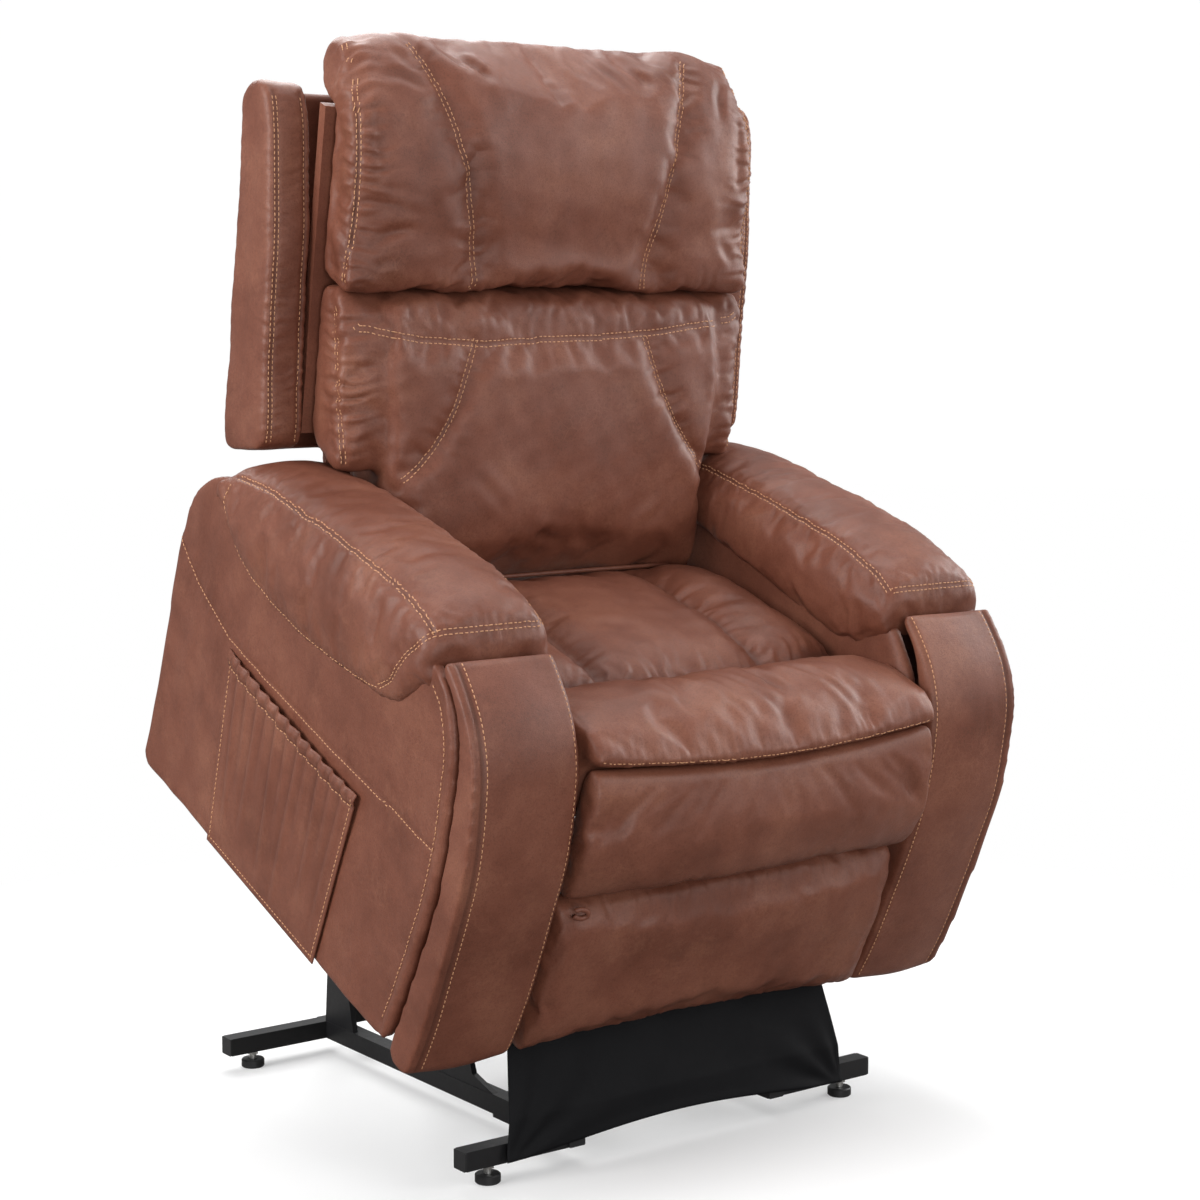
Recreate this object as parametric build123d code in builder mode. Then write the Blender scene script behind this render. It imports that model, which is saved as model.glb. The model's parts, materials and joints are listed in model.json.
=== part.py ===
"""Lift recliner chair: a powered lift base, a two-link lift, a footrest and a reclining back.

Lengths are millimetres. Two frames are used:
  floor frame   z = 0 on the floor, y = 0 over the front feet, the chair looks along -Y
  seated frame  fixed to the chair, upright: y runs back and z up from the front lower
                corner of the side panels
Everything on the chair is drawn in the seated frame and saved in the raised, tilted pose.
"""
import os
from math import atan2, cos, degrees, hypot, radians, sin, sqrt

from build123d import *

os.makedirs("parts", exist_ok=True)

# ---------------------------------------------------------------- driving dimensions
TILT = 22.27                      # forward tilt of the raised chair, degrees
RAISED_Y, RAISED_Z = 8.0, 193.7   # seated-frame origin in the floor frame when raised
CENTRE_Y = 221.46                 # floor-frame y that becomes y = 0 of the part

SEAT_HALF = 268.0                 # half width of the seat, chaise and ottoman pads
ARM_INNER, ARM_OUTER = 285.3, 441.4
SIDE_DEPTH = 700.0                # bottom length of a side panel
SIDE_REAR_TOP = 369.0             # height of the straight rear edge of a side panel
PANEL = 16.0                      # thickness of the side panels
ARM_TOP = 545.0                   # highest line of the arm pads' core
BACK_HALF, WING_HALF = 330.0, 405.0
BACK_TOP = 1058.0

TUBE, WALL = 25.4, 2.0            # square steel tube
FOOT_X, FOOT_PITCH = 297.0, 608.0  # foot centres across and front to back
BAR_Z = 24.0                      # underside of the base tubes
RAIL_X = 168.3                    # centre of each base rail
BAR_END_X = 337.0
FOOT_R, FOOT_H, STEM_R = 16.5, 12.0, 5.0
FIT = 0.06                        # radial clearance of a pin in its hole
GAP = 0.3                         # clearance between soft pieces

PIN_R, PIN_HEAD_R, LINK_W, LINK_T = 6.0, 10.0, 28.0, 5.5
FRONT_PIVOT = (278.6, 200.8)      # base pivots, floor frame
REAR_PIVOT = (570.6, 189.8)
SHORT_END = (64.0, 81.0)          # chair ends of the links, seated frame
LONG_END = (175.0, 53.0)
BRACKET_X, BRACKET_T = 172.0, 8.0
SHORT_X, LONG_X, FRAME_X = 182.0, 189.0, 196.0

MOTOR_PIVOT = (575.0, 105.0)      # lift motor on the base, floor frame
PUSH_PIVOT = (262.0, 203.0)       # rod eye on the chair, seated frame
PUSH_TUBE = (270.0, 248.0)
MOTOR_BODY, MOTOR_TUBE, ROD_R, TUBE_R = 100.0, 340.0, 9.0, 17.0

FOOT_PIVOT = (92.0, 258.0)        # footrest linkage, seated frame
OTTOMAN_PIVOT = (2.0, 189.0)
DRIVE_LINK, REACH_LINK, FOOT_LINK_W, FOOT_LINK_T = 219.0, 235.0, 24.0, 5.0
OTTOMAN_X, REACH_X, DRIVE_X, PLATE_X = 224.0, 230.0, 236.0, 242.0
CREASE_Z, CHAISE_TOP, PAD_BACK = 227.0, 419.0, -33.3

RECLINE_PIVOT = (500.0, 270.0)
HEAD_PIVOT = (572.0, 747.0)
RAIL_TOP = 317.7                  # top of the wooden seat rails
PLATE_TOP = 285.0                 # top of the mechanism plates

# ---------------------------------------------------------------- frames and small helpers
FLOOR = Location((0, -CENTRE_Y, 0))
CHAIR = Location((0, RAISED_Y - CENTRE_Y, RAISED_Z), (TILT, 0, 0))


def raised(point):
    """Seated-frame (y, z) to floor-frame (y, z) with the chair raised."""
    c, s = cos(radians(TILT)), sin(radians(TILT))
    return (RAISED_Y + c * point[0] - s * point[1], RAISED_Z + s * point[0] + c * point[1])


def toward(start, end, distance, aside=0.0):
    """The point `distance` along the line from start to end and `aside` to its left."""
    dy, dz = end[0] - start[0], end[1] - start[1]
    run = hypot(dy, dz)
    return (start[0] + (dy * distance - dz * aside) / run,
            start[1] + (dz * distance + dy * aside) / run)


def save(part, name, frame):
    part = frame * part
    part.label = name
    export_step(part, f"parts/{name}.step")
    return part


def side_outline(points):
    """Closed straight-sided face through (y, z) points, in the open sketch."""
    with BuildLine() as outline:
        Polyline(*points, close=True)
    make_face(outline.edges())


def slab(points, x_low, x_high):
    """A side outline carried across from x_low to x_high."""
    with BuildPart() as piece:
        with BuildSketch(Plane.YZ.offset(x_low)):
            side_outline(points)
        extrude(amount=x_high - x_low)
    return piece.part


def soft_slab(points, x_low, x_high, radius):
    """A slab whose side edges are rounded like an upholstered pad."""
    with BuildPart() as piece:
        with BuildSketch(Plane.YZ.offset(x_low)):
            side_outline(points)
        extrude(amount=x_high - x_low)
        ends = piece.faces().filter_by(Axis.X)
        chamfer(ends.edges(), length=radius)
    return piece.part


def pair(part):
    """The part and its mirror image across the chair's middle."""
    with BuildPart() as both:
        add(part)
        mirror(about=Plane.YZ)
    return both.part


def tube(section_plane, length, outer=TUBE, inner=TUBE - 2 * WALL):
    """Square hollow tube along the plane's normal."""
    with BuildPart() as piece:
        with BuildSketch(section_plane):
            Rectangle(outer, outer)
            Rectangle(inner, inner, mode=Mode.SUBTRACT)
        extrude(amount=length)
    return piece.part


def flat_link(start, end, width, x_low, thickness, end_fit=FIT):
    """Flat bar with round ends and a pin hole at each end."""
    middle = ((start[0] + end[0]) / 2, (start[1] + end[1]) / 2)
    run = hypot(end[0] - start[0], end[1] - start[1])
    turn = degrees(atan2(end[1] - start[1], end[0] - start[0]))
    with BuildPart() as bar:
        with BuildSketch(Plane.YZ.offset(x_low)):
            with Locations(middle):
                SlotCenterToCenter(run, width, rotation=turn)
            with Locations(start):
                Circle(PIN_R + FIT, mode=Mode.SUBTRACT)
            with Locations(end):
                Circle(PIN_R + end_fit, mode=Mode.SUBTRACT)
        extrude(amount=thickness)
    return bar.part


def cross_pin(centre, x_low, x_high, head_x=None, head_to=None):
    """Round pin along X at (y, z) with an optional head."""
    with BuildPart() as pin:
        with BuildSketch(Plane.YZ.offset(x_low)):
            with Locations(centre):
                Circle(PIN_R)
        extrude(amount=x_high - x_low)
        if head_x is not None:
            with BuildSketch(Plane.YZ.offset(head_x)):
                with Locations(centre):
                    Circle(PIN_HEAD_R)
            extrude(amount=head_to - head_x)
    return pin.part


# ---------------------------------------------------------------- base
BAR_MID = BAR_Z + TUBE / 2
BAR_TOP = BAR_Z + TUBE
RAIL_OUT = RAIL_X + TUBE / 2
RAIL_START, RAIL_END = -TUBE / 2, FOOT_PITCH + TUBE / 2

rail = tube(Plane(origin=(RAIL_X, RAIL_START, BAR_MID), z_dir=(0, 1, 0)), RAIL_END - RAIL_START)
save(pair(rail), "base_side_rails", FLOOR)

STEM_HOLE = STEM_R + FIT


def outrigger(y):
    """Short square bar from a rail out past its foot, drilled for the foot's stem."""
    with BuildPart() as bar:
        with BuildSketch(Plane.YZ.offset(RAIL_OUT)):
            with Locations((y, BAR_MID)):
                Rectangle(TUBE, TUBE)
                Rectangle(TUBE - 2 * WALL, TUBE - 2 * WALL, mode=Mode.SUBTRACT)
        extrude(amount=BAR_END_X - RAIL_OUT)
        with BuildSketch(Plane.XY.offset(BAR_Z)):
            with Locations((FOOT_X, y)):
                Circle(STEM_HOLE)
        extrude(amount=WALL, mode=Mode.SUBTRACT)
    return bar.part


with BuildPart() as outriggers:
    add(outrigger(0.0))
    add(outrigger(FOOT_PITCH))
    mirror(about=Plane.YZ)
save(outriggers.part, "base_outriggers", FLOOR)

CROSS_HALF = BRACKET_X - 0.1
REAR_CROSS_Y = MOTOR_PIVOT[0]
with BuildPart() as base_cross_tubes:
    for cross_y in (0.0, REAR_CROSS_Y):
        add(tube(Plane(origin=(-CROSS_HALF, cross_y, BAR_TOP + TUBE / 2), z_dir=(1, 0, 0)), 2 * CROSS_HALF))
save(base_cross_tubes.part, "base_cross_tubes", FLOOR)

COLLAR, COLLAR_START, COLLAR_LENGTH = 31.0, 110.0, 45.0
collar_plane = Plane(origin=(RAIL_X, COLLAR_START, BAR_MID), z_dir=(0, 1, 0))
save(pair(tube(collar_plane, COLLAR_LENGTH, COLLAR, TUBE + 0.2)), "rail_collars", FLOOR)

CAP_T, PLUG_LENGTH = 3.0, 15.0


def end_cap(plane):
    """Plastic cap on a tube end, with the plug that holds it in the tube."""
    with BuildPart() as cap:
        with BuildSketch(plane):
            RectangleRounded(TUBE, TUBE, 2)
        extrude(amount=CAP_T)
        with BuildSketch(plane):
            Rectangle(TUBE - 2 * WALL - 0.2, TUBE - 2 * WALL - 0.2)
        extrude(amount=-PLUG_LENGTH)
    return cap.part


with BuildPart() as end_caps:
    for cap_y in (0.0, FOOT_PITCH):
        add(end_cap(Plane(origin=(BAR_END_X, cap_y, BAR_MID), z_dir=(1, 0, 0))))
    add(end_cap(Plane(origin=(RAIL_X, RAIL_START, BAR_MID), z_dir=(0, -1, 0))))
    add(end_cap(Plane(origin=(RAIL_X, RAIL_END, BAR_MID), z_dir=(0, 1, 0))))
    mirror(about=Plane.YZ)
save(end_caps.part, "tube_end_caps", FLOOR)

FOOT_SPOTS = [(x, y) for x in (-FOOT_X, FOOT_X) for y in (0.0, FOOT_PITCH)]
NUT_H = 5.0
with BuildPart() as foot_discs:
    with BuildSketch(Plane.XY):
        with Locations(*FOOT_SPOTS):
            Circle(FOOT_R)
    extrude(amount=FOOT_H)
    chamfer(foot_discs.edges().filter_by(GeomType.CIRCLE), length=1.5)
save(foot_discs.part, "foot_discs", FLOOR)

with BuildPart() as foot_stems:
    with BuildSketch(Plane.XY.offset(FOOT_H)):
        with Locations(*FOOT_SPOTS):
            Circle(STEM_R)
    extrude(amount=BAR_TOP - WALL - 4 - FOOT_H)
save(foot_stems.part, "foot_stems", FLOOR)

with BuildPart() as lock_nuts:
    with BuildSketch(Plane.XY.offset(BAR_Z - NUT_H)):
        with Locations(*FOOT_SPOTS):
            RegularPolygon(8.5, 6)
            Circle(STEM_HOLE, mode=Mode.SUBTRACT)
    extrude(amount=NUT_H)
save(lock_nuts.part, "foot_lock_nuts", FLOOR)

BOSS_R = 16.0


def pivot_bracket(pivot, foot_front, foot_rear, bend=None):
    """Upright plate welded on a rail, drilled for the link's pivot bolt."""
    sweep = [(foot_front, BAR_TOP)] + ([bend] if bend else [])
    with BuildPart() as plate:
        with BuildSketch(Plane.YZ.offset(BRACKET_X)):
            side_outline(sweep + [(pivot[0] - BOSS_R, pivot[1]), (pivot[0] + BOSS_R, pivot[1]),
                                  (foot_rear, BAR_TOP)])
            with Locations(pivot):
                Circle(BOSS_R)
                Circle(PIN_R + FIT, mode=Mode.SUBTRACT)
        extrude(amount=BRACKET_T)
    return plate.part


COLLAR_END = COLLAR_START + COLLAR_LENGTH
save(pair(pivot_bracket(FRONT_PIVOT, COLLAR_END + 1, FRONT_PIVOT[0] + 50, (210.0, 66.0))),
     "front_pivot_brackets", FLOOR)
save(pair(pivot_bracket(REAR_PIVOT, REAR_PIVOT[0] - 50, RAIL_END - 22)), "rear_pivot_brackets", FLOOR)

HEAD_T = 6.0
CLIP_T = 1.0                      # ring that keeps the long link on its base bolt
CLEVIS_HALF, CLEVIS_T = 16.0, 6.0
MOUNT_OUT = CLEVIS_HALF + CLEVIS_T
with BuildPart() as base_bolts:
    add(cross_pin(FRONT_PIVOT, BRACKET_X, LONG_X - 0.7, BRACKET_X - HEAD_T, BRACKET_X))
    add(cross_pin(REAR_PIVOT, BRACKET_X, FRAME_X - 0.4, BRACKET_X - HEAD_T, BRACKET_X))
    with BuildSketch(Plane.YZ.offset(LONG_X + LINK_T + 0.1)):
        with Locations(REAR_PIVOT):
            Circle(PIN_HEAD_R)
    extrude(amount=CLIP_T)
    mirror(about=Plane.YZ)
    add(cross_pin(MOTOR_PIVOT, -MOUNT_OUT - 2, MOUNT_OUT + 2))
save(base_bolts.part, "base_pivot_bolts", FLOOR)

with BuildPart() as motor_mount:
    with BuildSketch(Plane.YZ.offset(CLEVIS_HALF)):
        side_outline([(MOTOR_PIVOT[0] - 12, BAR_TOP + TUBE), (MOTOR_PIVOT[0] - 12, MOTOR_PIVOT[1]),
                      (MOTOR_PIVOT[0] + 12, MOTOR_PIVOT[1]), (MOTOR_PIVOT[0] + 12, BAR_TOP + TUBE)])
        with Locations(MOTOR_PIVOT):
            Circle(12)
            Circle(PIN_R + FIT, mode=Mode.SUBTRACT)
    extrude(amount=CLEVIS_T)
    mirror(about=Plane.YZ)
save(motor_mount.part, "motor_mount", FLOOR)

SKIRT_HALF, SKIRT_T = 272.0, 1.6
skirt_line = [(-16.2, 30.0), (-16.2, 80.0), (8.0, 170.0), (12.5, 215.0), (9.0, 240.0)]
save(slab(skirt_line + [(y - SKIRT_T, z) for y, z in reversed(skirt_line)], -SKIRT_HALF, SKIRT_HALF),
     "front_skirt", FLOOR)

# ---------------------------------------------------------------- lift links and lift motor
long_link = flat_link(REAR_PIVOT, raised(LONG_END), LINK_W, LONG_X, LINK_T)
SHORT_END_FIT = 0.8               # its swing is geared to the lift, so its chair end wanders a little
short_link = flat_link(FRONT_PIVOT, raised(SHORT_END), LINK_W, SHORT_X, LINK_T, SHORT_END_FIT)
for link_name, link in (("long_lift_link", long_link), ("short_lift_link", short_link)):
    save(link, f"{link_name}_left", FLOOR)
    save(mirror(link, about=Plane.YZ), f"{link_name}_right", FLOOR)

EYE_R, EYE_HALF, ROD_HALF = 13.0, 14.0, 10.0
push_at = raised(PUSH_PIVOT)
motor_run = hypot(push_at[0] - MOTOR_PIVOT[0], push_at[1] - MOTOR_PIVOT[1])
motor_dir = ((push_at[0] - MOTOR_PIVOT[0]) / motor_run, (push_at[1] - MOTOR_PIVOT[1]) / motor_run)


def motor_plane(distance):
    """Plane square to the motor's axis at a distance from its base pivot."""
    spot = toward(MOTOR_PIVOT, push_at, distance)
    return Plane(origin=(0, *spot), x_dir=(1, 0, 0), z_dir=(0, *motor_dir))


def eye(centre, half):
    """Round eye along X with a pin hole, for either end of the motor."""
    with BuildPart() as ring:
        with BuildSketch(Plane.YZ.offset(-half)):
            with Locations(centre):
                Circle(EYE_R)
        extrude(amount=2 * half)
    return ring.part


def pin_hole(centre, half):
    with BuildPart() as hole:
        with BuildSketch(Plane.YZ.offset(-half)):
            with Locations(centre):
                Circle(PIN_R + FIT)
        extrude(amount=2 * half)
    return hole.part


with BuildPart() as motor_housing:
    with BuildSketch(motor_plane(EYE_R + 8)):
        RectangleRounded(54, 62, 12)
    extrude(amount=MOTOR_BODY - EYE_R - 8)
    with BuildSketch(motor_plane(0)):
        Rectangle(2 * EYE_HALF, 2 * EYE_R)
    extrude(amount=EYE_R + 8)
    add(eye(MOTOR_PIVOT, EYE_HALF))
    add(pin_hole(MOTOR_PIVOT, EYE_HALF), mode=Mode.SUBTRACT)
save(motor_housing.part, "lift_motor_housing", FLOOR)

with BuildPart() as motor_tube:
    with BuildSketch(motor_plane(MOTOR_BODY)):
        Circle(TUBE_R)
        Circle(ROD_R + FIT, mode=Mode.SUBTRACT)
    extrude(amount=MOTOR_TUBE - MOTOR_BODY)
save(motor_tube.part, "lift_motor_tube", FLOOR)

ROD_START = MOTOR_TUBE - 45
SLOT_REACH, SLOT_FIT = (5.9, 13.0), 0.9   # the push-only slot of the rod's eye
slot_run = hypot(*SLOT_REACH)


def slotted(width, half):
    """Bar along X with round ends, from the chair's pin to the far end of the eye's slot."""
    with BuildPart() as bar:
        with BuildSketch(Plane.YZ.offset(-half)):
            with Locations((push_at[0] + SLOT_REACH[0] / 2, push_at[1] + SLOT_REACH[1] / 2)):
                SlotCenterToCenter(slot_run, width, rotation=degrees(atan2(SLOT_REACH[1], SLOT_REACH[0])))
        extrude(amount=2 * half)
    return bar.part


with BuildPart() as motor_rod:
    with BuildSketch(motor_plane(ROD_START)):
        Circle(ROD_R)
    extrude(amount=motor_run - ROD_START)
    add(slotted(2 * EYE_R, ROD_HALF))
    add(slotted(2 * (PIN_R + SLOT_FIT), EYE_R), mode=Mode.SUBTRACT)
save(motor_rod.part, "lift_motor_rod", FLOOR)

# ---------------------------------------------------------------- chair-side lift frame
LIFT_Z = 30.0                     # underside of the lift frame rails
FRAME_MID = LIFT_Z + TUBE / 2
FRAME_CENTRE_X = FRAME_X + TUBE / 2
FRAME_OUT = FRAME_X + TUBE
FRONT_TUBE_Y, FRONT_TUBE_Z = 20.7, 60.7
FRAME_START, FRAME_END = FRONT_TUBE_Y + TUBE / 2, 640.0

with BuildPart() as lift_rails:
    add(tube(Plane(origin=(FRAME_CENTRE_X, FRAME_START, FRAME_MID), z_dir=(0, 1, 0)),
             FRAME_END - FRAME_START))
    with BuildSketch(Plane.YZ.offset(FRAME_X)):
        with Locations(LONG_END):
            Circle(PIN_R + FIT)
    extrude(amount=TUBE, mode=Mode.SUBTRACT)
    mirror(about=Plane.YZ)
save(lift_rails.part, "lift_frame_rails", CHAIR)

with BuildPart() as frame_cross_tubes:
    for cross_at in ((FRONT_TUBE_Y, FRONT_TUBE_Z), (FRAME_END + TUBE / 2, FRAME_MID)):
        add(tube(Plane(origin=(-FRAME_OUT, *cross_at), z_dir=(1, 0, 0)), 2 * FRAME_OUT))
save(frame_cross_tubes.part, "lift_frame_cross_tubes", CHAIR)

LUG_T = 8.0
with BuildPart() as lugs:
    with BuildSketch(Plane.YZ.offset(FRAME_X)):
        side_outline([(SHORT_END[0] - 30, LIFT_Z + TUBE), (SHORT_END[0] - BOSS_R, SHORT_END[1]),
                      (SHORT_END[0] + BOSS_R, SHORT_END[1]), (SHORT_END[0] + 30, LIFT_Z + TUBE)])
        with Locations(SHORT_END):
            Circle(BOSS_R)
            Circle(PIN_R + FIT, mode=Mode.SUBTRACT)
    extrude(amount=LUG_T)
    mirror(about=Plane.YZ)
save(lugs.part, "short_link_lugs", CHAIR)

POST_BASE = LIFT_Z + TUBE
PUSH_UNDER = PUSH_TUBE[1] - TUBE / 2
post = tube(Plane(origin=(FRAME_CENTRE_X, PUSH_TUBE[0], POST_BASE), z_dir=(0, 0, 1)), PUSH_UNDER - POST_BASE)
save(pair(post), "lift_frame_posts", CHAIR)

LUG_INNER = ROD_HALF + 1.0
with BuildPart() as push_tube:
    with BuildSketch(Plane.YZ.offset(LUG_INNER)):
        side_outline([(PUSH_TUBE[0] + TUBE / 2, PUSH_UNDER), (PUSH_PIVOT[0] + 12, PUSH_PIVOT[1]),
                      (PUSH_PIVOT[0] - 12, PUSH_PIVOT[1]), (PUSH_TUBE[0] - TUBE / 2, PUSH_UNDER)])
        with Locations(PUSH_PIVOT):
            Circle(12)
            Circle(PIN_R + FIT, mode=Mode.SUBTRACT)
    extrude(amount=CLEVIS_T)
    mirror(about=Plane.YZ)
    add(tube(Plane(origin=(-PLATE_X, *PUSH_TUBE), z_dir=(1, 0, 0)), 2 * PLATE_X))
save(push_tube.part, "push_tube", CHAIR)

LOW_HEAD = 2.0
PUSH_OUT = LUG_INNER + CLEVIS_T
with BuildPart() as chair_bolts:
    add(cross_pin(SHORT_END, SHORT_X - 0.6, FRAME_X + LUG_T, FRAME_X + LUG_T, FRAME_X + LUG_T + HEAD_T))
    add(cross_pin(LONG_END, LONG_X - 0.6, FRAME_OUT, FRAME_OUT, FRAME_OUT + LOW_HEAD))
    mirror(about=Plane.YZ)
    add(cross_pin(PUSH_PIVOT, -PUSH_OUT - 2, PUSH_OUT + 2))
save(chair_bolts.part, "chair_pivot_bolts", CHAIR)

# ---------------------------------------------------------------- mechanism plates and footrest
PLATE_T = 5.0
with BuildPart() as plates:
    with BuildSketch(Plane.YZ.offset(PLATE_X)):
        side_outline([(70, 238), (70, PLATE_TOP), (520, PLATE_TOP), (520, 250), (400, 225), (200, 225)])
        with Locations(FOOT_PIVOT, RECLINE_PIVOT):
            Circle(PIN_R + FIT, mode=Mode.SUBTRACT)
    extrude(amount=PLATE_T)
    mirror(about=Plane.YZ)
save(plates.part, "mechanism_plates", CHAIR)


def elbow(near, far, near_length, far_length):
    """Elbow point of two links between near and far, on the rear lower side."""
    span = hypot(far[0] - near[0], far[1] - near[1])
    along = (near_length ** 2 - far_length ** 2 + span ** 2) / (2 * span)
    return toward(near, far, along, sqrt(near_length ** 2 - along ** 2))


ELBOW = elbow(FOOT_PIVOT, OTTOMAN_PIVOT, DRIVE_LINK, REACH_LINK)
BACK_BRACKET_X = PLATE_X + PLATE_T + 1
print("footrest elbow", ELBOW)

save(pair(flat_link(FOOT_PIVOT, ELBOW, FOOT_LINK_W, DRIVE_X, FOOT_LINK_T)), "footrest_drive_links", CHAIR)
save(pair(flat_link(ELBOW, OTTOMAN_PIVOT, FOOT_LINK_W, REACH_X, FOOT_LINK_T)), "footrest_reach_links", CHAIR)
save(pair(cross_pin(ELBOW, REACH_X - 0.6, DRIVE_X + FOOT_LINK_T + 0.6)), "footrest_elbow_pins", CHAIR)
with BuildPart() as plate_pins:
    add(cross_pin(FOOT_PIVOT, DRIVE_X - 0.6, PLATE_X + PLATE_T, PLATE_X + PLATE_T, PLATE_X + PLATE_T + 3))
    add(cross_pin(RECLINE_PIVOT, PLATE_X - 4, BACK_BRACKET_X + PLATE_T + 1, PLATE_X - 4, PLATE_X))
    mirror(about=Plane.YZ)
save(plate_pins.part, "mechanism_pins", CHAIR)

BOARD_REAR, BOARD_T, PAD_REAR = -10.5, 7.2, -18.0
BOARD_HALF = 250.0
save(slab([(BOARD_REAR, 12), (BOARD_REAR, 215), (BOARD_REAR - BOARD_T, 215), (BOARD_REAR - BOARD_T, 12)],
          -BOARD_HALF, BOARD_HALF), "ottoman_board", CHAIR)
with BuildPart() as ottoman_brackets:
    with BuildSketch(Plane.YZ.offset(OTTOMAN_X)):
        side_outline([(BOARD_REAR, 160), (BOARD_REAR, 213), (OTTOMAN_PIVOT[0], 201),
                      (OTTOMAN_PIVOT[0], 177)])
        with Locations(OTTOMAN_PIVOT):
            Circle(12)
        with Locations((BOARD_REAR - 10, OTTOMAN_PIVOT[1])):
            Rectangle(20, 70, mode=Mode.SUBTRACT)
        with Locations(OTTOMAN_PIVOT):
            Circle(PIN_R + FIT, mode=Mode.SUBTRACT)
    extrude(amount=PLATE_T)
    mirror(about=Plane.YZ)
save(ottoman_brackets.part, "ottoman_brackets", CHAIR)
save(pair(cross_pin(OTTOMAN_PIVOT, OTTOMAN_X, REACH_X + FOOT_LINK_T + 0.6)), "ottoman_pins", CHAIR)

PAD_EDGE = 9.0
save(soft_slab([(PAD_REAR, -6), (-38, -8), (-48, 2), (-60, 110), (-63, 205), (-52, CREASE_Z - 2),
                (PAD_REAR, CREASE_Z - 2)], -SEAT_HALF, SEAT_HALF, PAD_EDGE), "ottoman_pad", CHAIR)
save(soft_slab([(PAD_BACK, CREASE_Z + 4), (-60, CREASE_Z + 2), (-82, 255), (-88, 320), (-84, 380),
                (-68, 410), (-57, CHAISE_TOP - 2), (PAD_BACK, 410)], -SEAT_HALF, SEAT_HALF, PAD_EDGE),
     "chaise_pad", CHAIR)

# ---------------------------------------------------------------- seat
FRONT_RAIL_Y, REAR_RAIL_Y, RAIL_DEPTH = (85.0, 125.0), (435.0, 470.0), RAIL_TOP - PLATE_TOP
for rail_name, (y_low, y_high) in (("seat_front_rail", FRONT_RAIL_Y), ("seat_rear_rail", REAR_RAIL_Y)):
    with BuildPart() as seat_rail:
        with BuildSketch(Plane.XY.offset(PLATE_TOP)):
            with Locations((0, (y_low + y_high) / 2)):
                Rectangle(2 * ARM_INNER - 0.4, y_high - y_low)
        extrude(amount=RAIL_DEPTH)
    save(seat_rail.part, rail_name, CHAIR)

SPRING_COUNT, SPRING_PITCH, SPRING_WAVES, SPRING_WIRE = 5, 105.0, 9, 4.0
SPRING_LENGTH = REAR_RAIL_Y[0] - FRONT_RAIL_Y[1]
SPRING_END = 1.3
with BuildPart() as springs:
    with BuildSketch(Plane.XY.offset(RAIL_TOP - 10)):
        for k in range(SPRING_COUNT):
            spring_x = (k - (SPRING_COUNT - 1) / 2) * SPRING_PITCH
            with BuildLine() as wire:
                Polyline((spring_x, FRONT_RAIL_Y[1] + SPRING_END),
                         *[(spring_x + (18 if i % 2 else -18),
                            FRONT_RAIL_Y[1] + SPRING_LENGTH * i / SPRING_WAVES)
                           for i in range(1, SPRING_WAVES)],
                         (spring_x, REAR_RAIL_Y[0] - SPRING_END))
            trace(wire.edges(), SPRING_WIRE)
    extrude(amount=SPRING_WIRE)
save(springs.part, "seat_springs", CHAIR)

SEAT_FRONT, SEAT_REAR = -33.0, 456.0
save(soft_slab([(SEAT_FRONT, RAIL_TOP + GAP), (SEAT_FRONT, CHAISE_TOP + 1.5), (-54, CHAISE_TOP + 2.5),
                (-55, 436), (-32, 453), (25, 456), (85, 438), (122, 405), (260, 408), (SEAT_REAR, 380),
                (SEAT_REAR, RAIL_TOP + GAP)], -SEAT_HALF, SEAT_HALF, PAD_EDGE), "seat_cushion", CHAIR)

# ---------------------------------------------------------------- arms
FRONT_CURVE = [(3, 8), (-12, 110), (-24, 239), (-19, 310), (-11, 368), (1, 428), (32, 477), (62, 496)]
SIDE_TOP = [(95, 500), (581, 500), (648, 471), (692, 428), (703, SIDE_REAR_TOP), (SIDE_DEPTH, 0)]
REAR_EDGE = 688.0
side_panel = slab([(FRONT_CURVE[0][0], 0)] + FRONT_CURVE + SIDE_TOP, ARM_OUTER - PANEL, ARM_OUTER)
INNER_BOTTOM, INNER_T = 25.0, 17.7
inner_panel = slab([(5, INNER_BOTTOM)] + [(y + 1, z) for y, z in FRONT_CURVE[1:-1]]
                   + [(62, 494), (600, 494), (640, 465), (REAR_EDGE, 424), (REAR_EDGE, INNER_BOTTOM)],
                   ARM_INNER, ARM_INNER + INNER_T)
POST_FRONT = [(70, 515), (25, 494), (-10, 466), (-42, 420), (-60, 350), (-70, 290), (-68, 200),
              (-60, 60), (-50, 0), (-36, -10)]
arm_post = slab([(y - 1, z) for y, z in FRONT_CURVE] + POST_FRONT + [(-10, -6)], ARM_INNER, ARM_OUTER)
rear_board = slab([(REAR_EDGE + 0.3, 5), (703, 5), (703, SIDE_REAR_TOP), (692, 420), (REAR_EDGE + 0.3, 424)],
                  ARM_INNER, ARM_OUTER - PANEL - GAP)
top_board = slab([(66, 478), (66, 498), (600, 498), (600, 478)],
                 ARM_INNER + INNER_T + GAP, ARM_OUTER - PANEL - GAP)

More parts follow.
